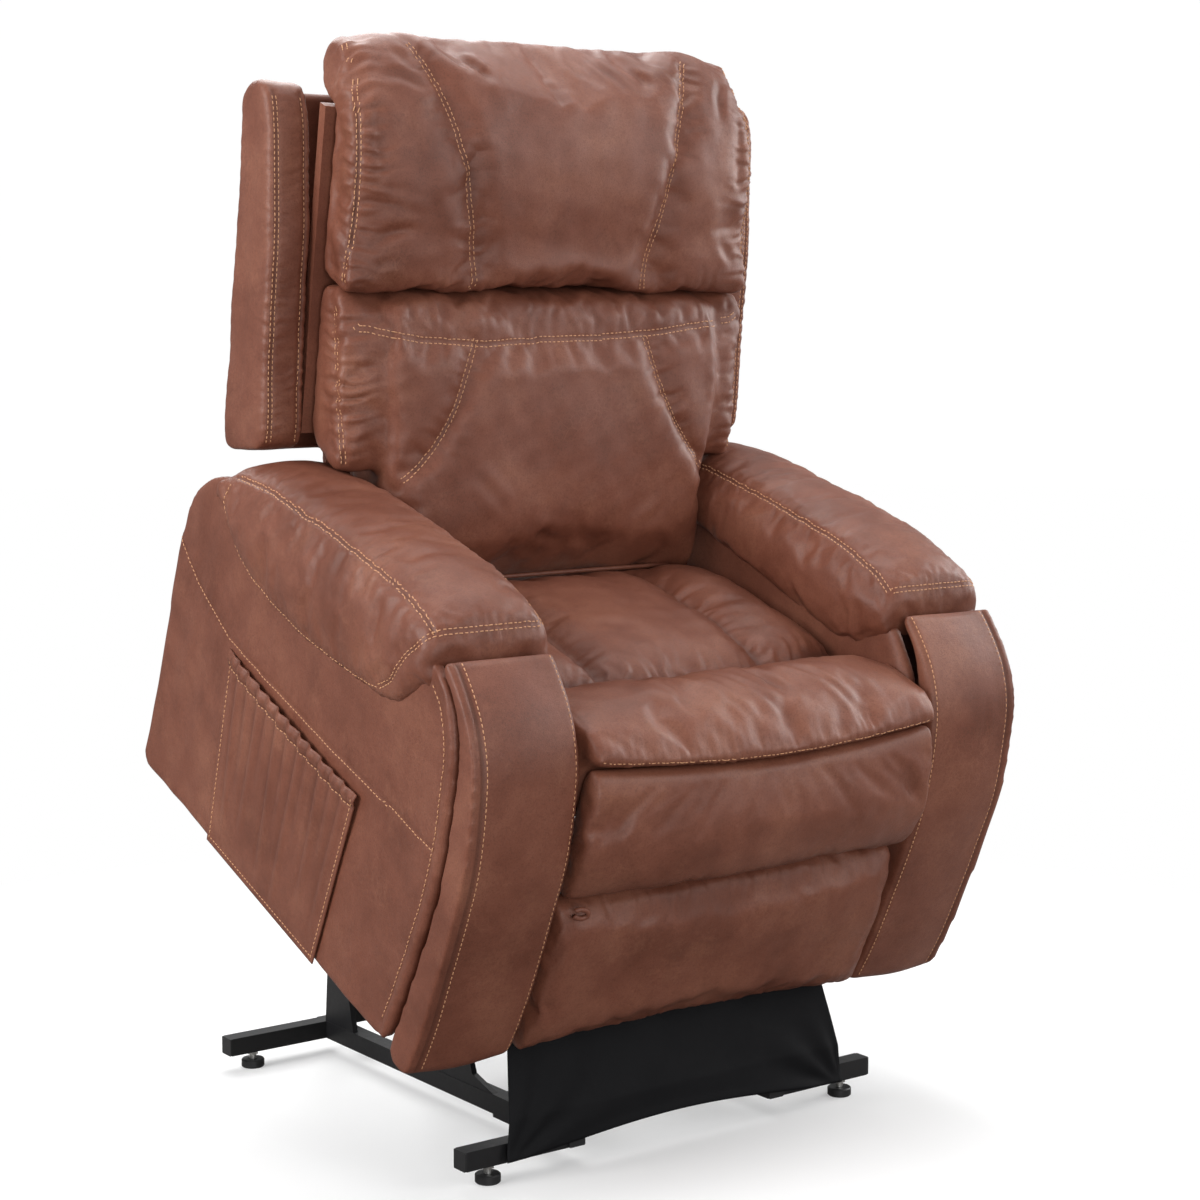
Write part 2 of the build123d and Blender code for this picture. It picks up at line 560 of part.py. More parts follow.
DRAPE_OUT, DRAPE_IN = ARM_OUTER + 15, 278.6
PAD_UNDER = 501.0
pad_top = [(96, PAD_UNDER), (84, 522), (90, 540), (124, 552), (202, 558), (354, ARM_TOP + 2), (512, 529),
           (606, 508), (604, PAD_UNDER)]
outer_drape = [(96, PAD_UNDER), (101, 449), (124, 417), (151, 405), (177, 408), (214, 397), (278, 389),
               (380, 381), (471, 381), (557, 409), (601, 450), (604, PAD_UNDER)]
inner_drape = [(96, PAD_UNDER), (101, 459), (130, 459), (560, 459), (600, 470), (604, PAD_UNDER)]
with BuildPart() as arm_pad:
    add(slab(pad_top, DRAPE_IN, DRAPE_OUT))
    add(slab(outer_drape, ARM_OUTER + GAP, DRAPE_OUT))
    add(slab(inner_drape, DRAPE_IN, ARM_INNER - GAP))
for piece_name, piece in (("side_panel", side_panel), ("inner_arm_panel", inner_panel),
                          ("arm_post", arm_post), ("arm_pad", arm_pad.part)):
    save(piece, f"{piece_name}_left", CHAIR)
    save(mirror(piece, about=Plane.YZ), f"{piece_name}_right", CHAIR)
save(pair(rear_board), "arm_rear_boards", CHAIR)
save(pair(top_board), "arm_top_boards", CHAIR)

POCKET_OUT, POCKET_WALL = 15.0, 3.4
POCKET_EDGE = [(168, 266), (520, 281), (487, 2), (184, 2)]
POCKET_HOLLOW = [(176, 290), (511, 300), (480, 14), (193, 14)]
with BuildPart() as pocket:
    add(slab(POCKET_EDGE, -ARM_OUTER - GAP - POCKET_OUT, -ARM_OUTER - GAP))
    add(slab(POCKET_HOLLOW, -ARM_OUTER - GAP - POCKET_OUT + POCKET_WALL, -ARM_OUTER - GAP - POCKET_WALL),
        mode=Mode.SUBTRACT)
save(pocket.part, "side_pocket", CHAIR)

# ---------------------------------------------------------------- back
BOARD_LOW, BOARD_HIGH, BOARD_THICK = (560.0, 300.0), (705.0, 964.0), 15.0


def behind_board(z, offset):
    """Point on the back board's front plane at height z, moved back by offset."""
    slope = (BOARD_HIGH[0] - BOARD_LOW[0]) / (BOARD_HIGH[1] - BOARD_LOW[1])
    return (BOARD_LOW[0] + slope * (z - BOARD_LOW[1]) + offset, z)


UPPER_START = 545.0
WING_INNER = BACK_HALF + 9.7
with BuildPart() as back_board:
    add(slab([behind_board(BOARD_LOW[1], 0), behind_board(BOARD_LOW[1], BOARD_THICK),
              behind_board(BOARD_HIGH[1], BOARD_THICK), behind_board(BOARD_HIGH[1], 0)],
             -BOARD_HALF, BOARD_HALF))
    add(slab([behind_board(UPPER_START, 0), behind_board(UPPER_START, BOARD_THICK),
              behind_board(BOARD_HIGH[1], BOARD_THICK), behind_board(BOARD_HIGH[1], 0)],
             -WING_INNER, WING_INNER))
save(back_board.part, "back_board", CHAIR)

BRACKET_TOP = 376.0
with BuildPart() as back_brackets:
    with BuildSketch(Plane.YZ.offset(BACK_BRACKET_X)):
        side_outline([(485, 262), (488, 292), (545, BRACKET_TOP), behind_board(BRACKET_TOP, 0),
                      behind_board(BOARD_LOW[1], 0), (520, 256), (495, 252)])
        with Locations(RECLINE_PIVOT):
            Circle(PIN_R + FIT, mode=Mode.SUBTRACT)
    extrude(amount=PLATE_T)
    mirror(about=Plane.YZ)
save(back_brackets.part, "back_brackets", CHAIR)

WING_FRONT = [(593, 531), (634, 648), (675, 796), (728, 937), (770, 975)]
WING_REAR = [(793, 969), (813, 939), (779, 808), (718, 548), (700, 478)]
wing = soft_slab(WING_FRONT + WING_REAR, WING_INNER, WING_HALF, 8.0)
save(wing, "back_wing_left", CHAIR)
save(mirror(wing, about=Plane.YZ), "back_wing_right", CHAIR)

SHELL_T = 12.0
with BuildPart() as back_shell:
    add(slab([(700, 478), (718, 548), (779, 808), (813, 939), (800, 960), (800 - SHELL_T, 955),
              (812 - SHELL_T, 930), (779 - SHELL_T, 808), (718 - SHELL_T, 548), (700 - SHELL_T, 478)],
             -WING_INNER + GAP, WING_INNER - GAP))
    add(slab([(652, 330), (700, 478), (712, 525), (712 - SHELL_T, 525), (700 - SHELL_T, 478),
              (652 - SHELL_T, 330)], -BOARD_HALF, BOARD_HALF))
    add(slab([behind_board(902, BOARD_THICK), behind_board(928, BOARD_THICK), (803, 928), (797, 902)],
             -60, 60))
save(back_shell.part, "back_shell", CHAIR)

LUMBAR_CENTRE = [(463, 385), (470, 430), (492, 530), (530, 640), (556, 700), (574, 742)]
LOW_HALF = 262.0
with BuildPart() as lumbar:
    add(soft_slab(LUMBAR_CENTRE + [behind_board(742, -GAP), behind_board(385, -GAP)],
                  -LOW_HALF, LOW_HALF, PAD_EDGE))
    add(slab([(512, 534.5), (536, 620), (566, 700), (590, 742), behind_board(742, -GAP),
              behind_board(516, -GAP), (565, 527)], -BACK_HALF, BACK_HALF))
save(lumbar.part, "lumbar_cushion", CHAIR)

HEAD_PLATE_T = 6.0
head_plate = slab([behind_board(760, -0.5), behind_board(935, -0.5), behind_board(935, -0.5 - HEAD_PLATE_T),
                   behind_board(760, -0.5 - HEAD_PLATE_T)], -BOARD_HALF, BOARD_HALF)
save(head_plate, "headrest_plate", CHAIR)
HEAD_CUSHION = [(574, 752), (590, 770), (604, 814), (612, 860), (630, 933), (673, 1008), (732, BACK_TOP),
                (772, BACK_TOP - 4), (776, 1020), (752, 985), (726, 968), (702, 968), behind_board(938, -3),
                behind_board(938, -0.8 - HEAD_PLATE_T), behind_board(752, -0.8 - HEAD_PLATE_T)]
save(slab(HEAD_CUSHION, -BACK_HALF, BACK_HALF), "head_cushion", CHAIR)
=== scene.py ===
# %% [markdown]
# # A lift recliner chair
# The chair is a wooden carcass dressed in brown leather, carried by a black steel lift.
# The steel, plastic and wood come ready made from the engineering model.
# What Blender adds is the upholstery, its seams and stitches, the finishes and the light.

# %% Load the frame
import json
import math

import bmesh
import bpy
import numpy as np
from mathutils import Matrix, Vector
from mathutils.bvhtree import BVHTree


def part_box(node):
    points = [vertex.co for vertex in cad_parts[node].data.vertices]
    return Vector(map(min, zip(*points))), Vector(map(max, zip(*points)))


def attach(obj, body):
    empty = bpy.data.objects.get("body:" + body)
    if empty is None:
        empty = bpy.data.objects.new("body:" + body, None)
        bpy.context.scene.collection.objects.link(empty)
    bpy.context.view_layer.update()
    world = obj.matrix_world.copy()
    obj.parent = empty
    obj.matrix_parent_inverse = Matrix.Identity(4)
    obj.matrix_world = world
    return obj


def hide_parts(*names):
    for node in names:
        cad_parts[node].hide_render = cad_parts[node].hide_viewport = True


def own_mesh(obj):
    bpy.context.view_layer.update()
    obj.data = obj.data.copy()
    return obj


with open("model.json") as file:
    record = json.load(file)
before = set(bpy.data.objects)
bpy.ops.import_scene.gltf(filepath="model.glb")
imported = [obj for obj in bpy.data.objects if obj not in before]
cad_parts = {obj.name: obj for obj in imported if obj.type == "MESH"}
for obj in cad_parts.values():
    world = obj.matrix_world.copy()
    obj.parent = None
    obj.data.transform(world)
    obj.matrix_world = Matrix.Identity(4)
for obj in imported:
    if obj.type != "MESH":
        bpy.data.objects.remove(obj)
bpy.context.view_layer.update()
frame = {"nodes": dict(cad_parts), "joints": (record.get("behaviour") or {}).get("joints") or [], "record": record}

# %% [markdown]
# ## A frame that sits with the chair
# The chair is shown raised and tipped forward, but an upholsterer cuts and pads it upright.
# So every soft piece is drawn upright, in millimetres: x to the sitter's left, y backward, z up.
# One matrix then tips it into place. Its angle comes from the lift's joints, and its corner
# from the side panel, so the matrix is worked out and never set by eye.

# %% The upright frame
lift_full = next(j for j in frame["joints"] if j["name"] == "lift")["range_deg"][1]
pitch_ratio = next(c for c in frame["record"]["behaviour"]["couplings"]
                   if c["joint"] == "chair_pitch")["ratio"]
TIP = math.radians(-lift_full * (1 + pitch_ratio))
TIPPED = Matrix.Rotation(TIP, 4, "X")


def points_of(obj):
    co = np.empty(len(obj.data.vertices) * 3)
    obj.data.vertices.foreach_get("co", co)
    return co.reshape(-1, 3)


PANEL_REAR = 0.703
upright = points_of(frame["nodes"]["side_panel_left"]) @ np.array(TIPPED.to_3x3())
corner = Vector((0, upright[:, 1].max() - PANEL_REAR, upright[:, 2].min()))
TO_CHAIR = TIPPED @ Matrix.Translation(corner)
print("chair tips forward", round(math.degrees(TIP), 2), "degrees")

# %% [markdown]
# ## Outlines
# Leather turns every corner in a small curve. An outline is given by its corner points,
# and this helper rounds each corner and spaces points evenly along it.

# %% Rounded lines


def rounded(points, radius, spacing=6.0, closed=True):
    """The line through points with its corners rounded, resampled every spacing mm."""
    p = np.array(points, float)
    n = len(p)
    line = []
    for i in range(n):
        if not closed and i in (0, n - 1):
            line.append(p[i][None])
            continue
        before, here, after = p[i - 1], p[i], p[(i + 1) % n]
        reach = min(radius, 0.48 * np.linalg.norm(before - here), 0.48 * np.linalg.norm(after - here))
        a = here + (before - here) / np.linalg.norm(before - here) * reach
        b = here + (after - here) / np.linalg.norm(after - here) * reach
        t = np.linspace(0, 1, 7)[:, None]
        line.append((1 - t) ** 2 * a + 2 * t * (1 - t) * here + t ** 2 * b)
    return spaced(np.concatenate(line), spacing, closed)


def spaced(line, spacing, closed=False):
    """The same line with evenly spaced points."""
    line = np.array(line, float)
    if closed:
        line = np.vstack([line, line[:1]])
    run = np.concatenate([[0], np.cumsum(np.linalg.norm(np.diff(line, axis=0), axis=1))])
    count = max(2, int(round(run[-1] / spacing)) + 1)
    at = np.linspace(0, run[-1], count)
    out = np.stack([np.interp(at, run, line[:, k]) for k in range(line.shape[1])], 1)
    return out[:-1] if closed else out


# %% [markdown]
# ## From an outline to a padded body
# A pad could be modelled by hand on a subdivision cage. Cutting it like an upholsterer is
# simpler: extrude its side outline to a solid, round it, and voxel remesh it, so that every
# part has evenly sized faces which can swell, pucker and take a seam anywhere.

# %% Solids and remeshing


def mesh_object(name, verts, faces):
    mesh = bpy.data.meshes.new(name)
    mesh.from_pydata([tuple(v) for v in verts], [], [tuple(f) for f in faces])
    mesh.validate()
    obj = bpy.data.objects.new(name, mesh)
    bpy.context.scene.collection.objects.link(obj)
    return obj


def turn_out(obj, cut_caps=False):
    """Turns every face outward, and can cut the many-sided end caps into triangles."""
    bm = bmesh.new()
    bm.from_mesh(obj.data)
    bmesh.ops.recalc_face_normals(bm, faces=bm.faces)
    if cut_caps:
        bmesh.ops.triangulate(bm, faces=[f for f in bm.faces if len(f.verts) > 4])
    bm.to_mesh(obj.data)
    bm.free()
    return obj


def grid_faces(across, up):
    """The square faces of a sheet with up rows of across points."""
    return [(r * across + c, r * across + c + 1, (r + 1) * across + c + 1, (r + 1) * across + c)
            for r in range(up - 1) for c in range(across - 1)]


def slab(name, outline, x_low, x_high):
    """A side outline of (y, z) points carried across from x_low to x_high, in metres."""
    n = len(outline)
    verts = [(x / 1000, y / 1000, z / 1000) for x in (x_low, x_high) for y, z in outline]
    faces = [list(range(n))[::-1], list(range(n, 2 * n))]
    faces += [[i, (i + 1) % n, n + (i + 1) % n, n + i] for i in range(n)]
    return turn_out(mesh_object(name, verts, faces), cut_caps=True)


def loft(name, rings):
    """Rings of the same number of (x, y, z) points joined into a closed body, in metres."""
    rings = np.array(rings, float) / 1000
    count, n = rings.shape[:2]
    verts = rings.reshape(-1, 3)
    faces = [list(range(n))[::-1], list(range((count - 1) * n, count * n))]
    for r in range(count - 1):
        for i in range(n):
            j = (i + 1) % n
            faces.append([r * n + i, r * n + j, (r + 1) * n + j, (r + 1) * n + i])
    return turn_out(mesh_object(name, verts, faces), cut_caps=True)


def bake(obj):
    """Turns what the modifiers show into the mesh itself."""
    shown = obj.evaluated_get(bpy.context.evaluated_depsgraph_get())
    mesh = bpy.data.meshes.new_from_object(shown)
    obj.modifiers.clear()
    old, obj.data = obj.data, mesh
    bpy.data.meshes.remove(old)
    return obj


def fuse(name, *parts):
    """Several overlapping solids as one object; the remesh joins them."""
    bm = bmesh.new()
    for part in parts:
        bm.from_mesh(part.data)
        bpy.data.objects.remove(part)
    mesh = bpy.data.meshes.new(name)
    bm.to_mesh(mesh)
    bm.free()
    obj = bpy.data.objects.new(name, mesh)
    bpy.context.scene.collection.objects.link(obj)
    return obj


def even_skin(obj, voxel, soften):
    """Remeshes a solid to faces about voxel mm wide and softens its edges."""
    remesh = obj.modifiers.new("even", "REMESH")
    remesh.mode = "VOXEL"
    remesh.voxel_size = voxel / 1000
    smooth = obj.modifiers.new("soften", "SMOOTH")
    smooth.factor = 0.5
    smooth.iterations = soften
    return bake(obj)


# %% [markdown]
# ## Stuffing
# Real cushions take their shape from pressure inside a leather cover that is sewn down at its
# seams. Cloth simulation does the same: the cover is blown up a little, cut slightly too
# large so that it wrinkles, and pinned where it is sewn or rests on the frame.
# How far a point may move is capped, because a real cover is held by its foam.

# %% Cloth simulation
SIM_FRAMES = 20


def normals_of(obj):
    n = np.empty(len(obj.data.vertices) * 3, np.float32)
    obj.data.vertices.foreach_get("normal", n)
    return n.reshape(-1, 3).astype(float)


def set_points(obj, co):
    obj.data.vertices.foreach_set("co", co.astype(np.float32).ravel())
    obj.data.update()


def stuff(obj, held, pressure=4.0, excess=0.02, cap=14.0):
    """Blows up obj's cover by cloth simulation. held is 1 where the cover is pinned."""
    scene = bpy.context.scene
    before = points_of(obj)
    group = obj.vertex_groups.new(name="held")
    for level in range(1, 6):
        at = np.nonzero(np.round(held * 5) == level)[0]
        group.add(at.tolist(), level / 5, "REPLACE")
    cloth = obj.modifiers.new("cover", "CLOTH")
    cloth.settings.quality = 5
    cloth.settings.mass = 0.4
    cloth.settings.tension_stiffness = 25
    cloth.settings.compression_stiffness = 25
    cloth.settings.shear_stiffness = 12
    cloth.settings.bending_stiffness = 1.2
    cloth.settings.tension_damping = 8
    cloth.settings.bending_damping = 1.5
    cloth.settings.air_damping = 3
    cloth.settings.use_pressure = True
    cloth.settings.uniform_pressure_force = pressure
    cloth.settings.shrink_min = -excess
    cloth.settings.vertex_group_mass = "held"
    cloth.settings.effector_weights.gravity = 0
    cloth.collision_settings.use_collision = False
    cloth.collision_settings.use_self_collision = False
    cloth.point_cache.frame_start, cloth.point_cache.frame_end = 1, SIM_FRAMES
    for f in range(1, SIM_FRAMES + 1):
        scene.frame_set(f)
    bake(obj)
    obj.vertex_groups.clear()
    scene.frame_set(1)
    moved = points_of(obj) - before
    far = np.linalg.norm(moved, axis=1, keepdims=True)
    far_most = float(far.max()) * 1000
    moved *= np.minimum(1, cap / 1000 / np.maximum(far, 1e-9))
    set_points(obj, before + moved)
    print(obj.name, "stuffed: moved up to", round(min(far_most, cap), 1), "of", round(far_most, 1), "mm")
    return obj


def finer(obj):
    """One Catmull-Clark subdivision, so that seams and puckers have points to move."""
    sub = obj.modifiers.new("finer", "SUBSURF")
    sub.levels = sub.render_levels = 1
    return bake(obj)


# %% [markdown]
# ## Seams, puckers and folds
# A seam is a valley with a row of stitches beside it. Leather gathers into short puckers that
# run away from the seam, because the sewn edge is shorter than the panel it holds.
# Both are moved into the mesh as real shape, so that they show from every side.
# A per-point value called crease remembers where the valleys are, and the colour paints shade into them.

# %% Shaping along seams
rng = np.random.default_rng(7)
WAVES = rng.uniform(0, 2 * np.pi, (64, 3))
WAVE_AIM = rng.normal(size=(64, 3))
WAVE_AIM /= np.linalg.norm(WAVE_AIM, axis=1, keepdims=True)


def ripple(p, size, seed=0, count=9):
    """Smooth wandering value about -1 to 1 over points p in mm, with features of that size."""
    total = np.zeros(len(p))
    for k in range(count):
        i = (seed * 7 + k) % 64
        stretch = 0.7 + 0.9 * ((k * 0.618) % 1)
        total += np.sin((p @ WAVE_AIM[i]) * stretch * 2 * np.pi / size + WAVES[i, k % 3])
    return total / (0.75 * math.sqrt(count) * 1.6)


def along(p, line):
    """For points p: distance to a polyline, and how far along it the nearest place is, in mm."""
    best = np.full(len(p), 1e9)
    where = np.zeros(len(p))
    run = 0.0
    for a, b in zip(line[:-1], line[1:]):
        d = b - a
        length = float(np.linalg.norm(d))
        t = np.clip((p - a) @ d / max(length ** 2, 1e-9), 0, 1)
        gap = np.linalg.norm(p - a - t[:, None] * d, axis=1)
        closer = gap < best
        best[closer] = gap[closer]
        where[closer] = run + t[closer] * length
        run += length
    return best, where


class Shaper:
    """Moves a padded body's skin in and out along its normals, in mm, and notes the painted shade of its creases."""

    def __init__(self, obj):
        self.obj = obj
        self.p = points_of(obj) * 1000
        self.n = normals_of(obj)
        self.out = np.zeros(len(self.p))
        self.crease = np.zeros(len(self.p))

    def swell(self, amount):
        self.out += amount
        return self

    # dark, in seam, pucker and fold, is how much painted shade a valley gets: darker colour where shade would fall.
    def seam(self, line, depth=3.0, width=4.0, dark=0.7, puff=0.0, puff_width=22.0):
        line = spaced(line, 6)
        d, _ = along(self.p, line)
        groove = np.exp(-(d / width) ** 2)
        self.out -= depth * groove
        if puff:
            self.out += puff * np.exp(-((d - puff_width) / puff_width) ** 2)
        self.crease = np.maximum(self.crease, dark * np.exp(-(d / (width * 0.8)) ** 2))
        return self

    def pucker(self, line, height=1.6, reach=24.0, pitch=15.0, seed=0, dark=0.3):
        """Short ridges and valleys square to the seam, which die away from it."""
        line = spaced(line, 6)
        d, s = along(self.p, line)
        wander = ripple(self.p, 60, seed + 3) * 2.2
        strength = 0.45 + 0.55 * np.clip(ripple(np.stack([s, s * 0, s * 0], 1), pitch * 7, seed + 5), 0, 1)
        wave = np.sin(2 * np.pi * s / pitch + wander) + 0.5 * np.sin(2 * np.pi * s / (pitch * 0.57)
                                                                     + wander * 1.7 + seed)
        fade = np.exp(-(d / reach) ** 2) * (1 - np.exp(-(d / 5) ** 2)) * strength
        self.out += height * wave * fade
        self.crease = np.maximum(self.crease, dark * fade * np.clip(-wave, 0, 1))
        return self

    def fold(self, line, depth=3.0, width=7.0, dark=0.4):
        """One soft wrinkle along a line, fading at both ends."""
        line = spaced(line, 6)
        d, s = along(self.p, line)
        total = float(np.linalg.norm(np.diff(line, axis=0), axis=1).sum())
        ends = np.sin(np.pi * np.clip(s / total, 0, 1)) ** 0.7
        self.out += ends * depth * (0.6 * np.exp(-((d - 1.6 * width) / width) ** 2) - np.exp(-(d / width) ** 2))
        self.crease = np.maximum(self.crease, dark * ends * np.exp(-(d / (width * 0.8)) ** 2))
        return self

    def done(self):
        set_points(self.obj, (self.p + self.n * self.out[:, None]) / 1000)
        # The crease value is painted shade. The leather's colour darkens by it in these valleys.
        store = self.obj.data.attributes.new("crease", "FLOAT", "POINT")
        store.data.foreach_set("value", np.clip(self.crease, 0, 1).astype(np.float32))
        return self.obj


def bump(value, low, high):
    """0 outside low..high and a smooth hump to 1 between them."""
    t = np.clip((value - low) / (high - low), 0, 1)
    return np.sin(np.pi * t) ** 2


def ease(value, low, high):
    t = np.clip((value - low) / (high - low), 0, 1)
    return t * t * (3 - 2 * t)


# %% [markdown]
# ## Shader maths as plain expressions
# Materials are node trees. Wrapping a socket in a small class lets the maths be written as
# Python, such as mask * 0.5 + 0.4, and each operator adds its Math node.

# %% Sockets and materials


class Wire:
    """A socket of a node tree that can be used in expressions."""

    def __init__(self, paint, socket):
        self.paint, self.socket = paint, socket

    def _math(self, operation, *values):
        return self.paint.node("ShaderNodeMath", {"operation": operation}, *values)["Value"]

    def __add__(self, other):
        return self._math("ADD", self, other)

    def __mul__(self, other):
        return self._math("MULTIPLY", self, other)

    __radd__ = __add__
    __rmul__ = __mul__


class Made:
    """A node that was just made: its outputs by name, as wires."""

    def __init__(self, paint, node):
        self.paint, self.node = paint, node

    def __getitem__(self, name):
        return Wire(self.paint, self.node.outputs[name])


class Paint:
    """A material being mixed."""

    def __init__(self, name, **constants):
        self.material = bpy.data.materials.new(name)
        self.material.use_nodes = True
        self.tree = self.material.node_tree
        self.shader = self.tree.nodes["Principled BSDF"]
        for key, value in constants.items():
            self.shader.inputs[key.replace("_", " ")].default_value = value

    def node(self, kind, settings=None, *by_place, **by_name):
        """Adds a node: its type, its settings, then its sockets by place or by name."""
        node = self.tree.nodes.new(kind)
        for key, value in (settings or {}).items():
            if key == "stops":
                ramp = node.color_ramp.elements
                while len(ramp) < len(value):
                    ramp.new(0.5)
                for element, (place, colour) in zip(ramp, value):
                    element.position, element.color = place, (*colour, 1)
            else:
                setattr(node, key, value)
        for place, value in enumerate(by_place):
            self.feed(node.inputs[place], value)
        for key, value in by_name.items():
            self.feed(node.inputs[key.replace("_", " ")], value)
        return Made(self, node)

    def feed(self, socket, value):
        if isinstance(value, Wire):
            self.tree.links.new(value.socket, socket)
        elif value is not None:
            socket.default_value = value

    def set(self, name, value):
        self.feed(self.shader.inputs[name], value)
        return self

    def where(self):
        return self.node("ShaderNodeTexCoord")["Object"]

    def noise(self, scale, detail=3.0, rough=0.55, at=None):
        made = self.node("ShaderNodeTexNoise", {}, Vector=at or self.where(), Scale=scale, Detail=detail,
                         Roughness=rough)
        return made["Fac"]

    def ramp(self, value, *stops):
        """value through a ramp: stops are (place, grey or colour)."""
        full = [(place, (tone,) * 3 if isinstance(tone, (int, float)) else tone) for place, tone in stops]
        return self.node("ShaderNodeValToRGB", {"stops": full}, value)["Color"]

    def mix(self, factor, a, b):
        """Colour a turning to colour b by factor."""
        made = self.node("ShaderNodeMix", {"data_type": "RGBA"})
        inputs, node = made.node.inputs, made.node
        for place, value in ((0, factor), (6, a), (7, b)):
            if isinstance(value, tuple):
                value = (*value, 1)
            self.feed(inputs[place], value)
        return Wire(self, node.outputs[2])

    def bump(self, height, strength, distance, below=None):
        made = self.node("ShaderNodeBump", {}, Strength=strength, Distance=distance, Height=height,
                         Normal=below)
        return made["Normal"]


# %% [markdown]
# ## The leather
# This is a distressed pull-up hide: wax in it moves when it is stretched, so the colour is
# cloudy and lighter where the hide is pulled, with small scuffs and dark pores. Its seams and
# folds are darkened with painted shade. Three noises of different sizes give the clouds, a
# Voronoi gives the pebbled grain as bump, and the crease value paints the shade into seams
# and folds. A painted texture would fix one chair's marks; noise in object space suits any cut
# and needs no unwrapping.

# %% Leather material


def leather(name, dark, middle, light):
    p = Paint(name, Specular_IOR_Level=0.34)
    at = p.where()
    warp = p.node("ShaderNodeTexNoise", {}, Vector=at, Scale=7.0, Detail=2.0)["Color"]
    warped = p.node("ShaderNodeVectorMath", {"operation": "MULTIPLY_ADD"}, warp, (0.06, 0.06, 0.06),
                    at)["Vector"]
    clouds = p.noise(6.5, 3.0, 0.55, warped)
    blotches = p.noise(24.0, 4.0, 0.6, warped)
    fine = p.noise(170.0, 4.0, 0.65)
    tone = p.ramp(clouds * 0.55 + blotches * 0.33 + fine * 0.12, (0.36, dark), (0.5, middle), (0.64, light))
    rubbed = p.ramp(p.noise(13.0, 3.0, 0.6) * 0.7 + fine * 0.3, (0.54, 0.0), (0.70, 1.0))
    tone = p.mix(rubbed * 0.30, tone, RUBBED)
    freckle = p.ramp(p.noise(420.0, 3.0, 0.7), (0.36, 1.0), (0.50, 0.0))
    tone = p.mix(freckle * 0.32, tone, tuple(c * 0.45 for c in dark))
    cracks = p.node("ShaderNodeTexVoronoi", {"feature": "DISTANCE_TO_EDGE"}, Vector=warped,
                    Scale=95.0)["Distance"]
    worn = p.ramp(p.noise(9.0, 3.0), (0.56, 0.0), (0.66, 1.0))
    scratch = p.ramp(cracks, (0.0, 1.0), (0.05, 0.0))
    tone = p.mix(scratch * worn * 0.28, tone, RUBBED)
    # Painted shade: the crease value darkens the colour in seam valleys, puckers and folds, where shade would fall.
    crease = p.node("ShaderNodeAttribute", {"attribute_name": "crease"})["Fac"]
    tone = p.mix(crease * 0.75, tone, tuple(c * 0.3 for c in dark))
    grain = p.node("ShaderNodeTexVoronoi", {"feature": "DISTANCE_TO_EDGE"}, Vector=at,
                   Scale=520.0)["Distance"]
    normal = p.bump(p.ramp(grain, (0.0, 0.0), (0.22, 1.0)), 0.20, 0.0005)
    normal = p.bump(p.noise(95.0, 4.0, 0.6), 0.30, 0.0010, normal)
    p.set("Base Color", tone).set("Normal", normal)
    p.set("Roughness", p.noise(60.0) * 0.14 + 0.39 + crease * 0.15)
    return p.material


RUBBED = (0.268, 0.113, 0.066)
LEATHER = leather("brown_leather", (0.124, 0.038, 0.021), (0.168, 0.056, 0.033), (0.214, 0.080, 0.048))

# %% [markdown]
# ## Thread
# The stitches are thick waxed polyester, so each one is a small plump capsule of its own.

# %% Thread material


def thread():
    p = Paint("tan_thread", Roughness=0.6)
    strands = p.noise(900.0, 2.0)
    p.set("Base Color", p.mix(strands, (0.48, 0.225, 0.11), (0.61, 0.33, 0.175)))
    p.set("Normal", p.bump(strands, 0.3, 0.0002))
    return p.material


THREAD = thread()

# %% [markdown]
# ## Rows of stitches
# A row follows a seam line at a small distance to one side. Each stitch finds its place on
# the leather with a search tree, lies flat on it, and dips into the hide at both ends.
# All the stitches of one piece are one mesh, because thousands of objects would be slow.

# %% Stitch maker
STITCH, STITCH_GAP, THREAD_R = 5.4, 1.7, 0.70
TURNS = np.linspace(0, 2 * np.pi, 6, endpoint=False)
STITCH_RINGS = ((0.0, 0.45, -0.7), (0.16, 1.0, 0.1), (0.5, 1.05, 0.45), (0.84, 1.0, 0.1), (1.0, 0.45, -0.7))


def surface_tree(obj):
    mesh = obj.data
    return BVHTree.FromPolygons([v.co for v in mesh.vertices], [p.vertices[:] for p in mesh.polygons])


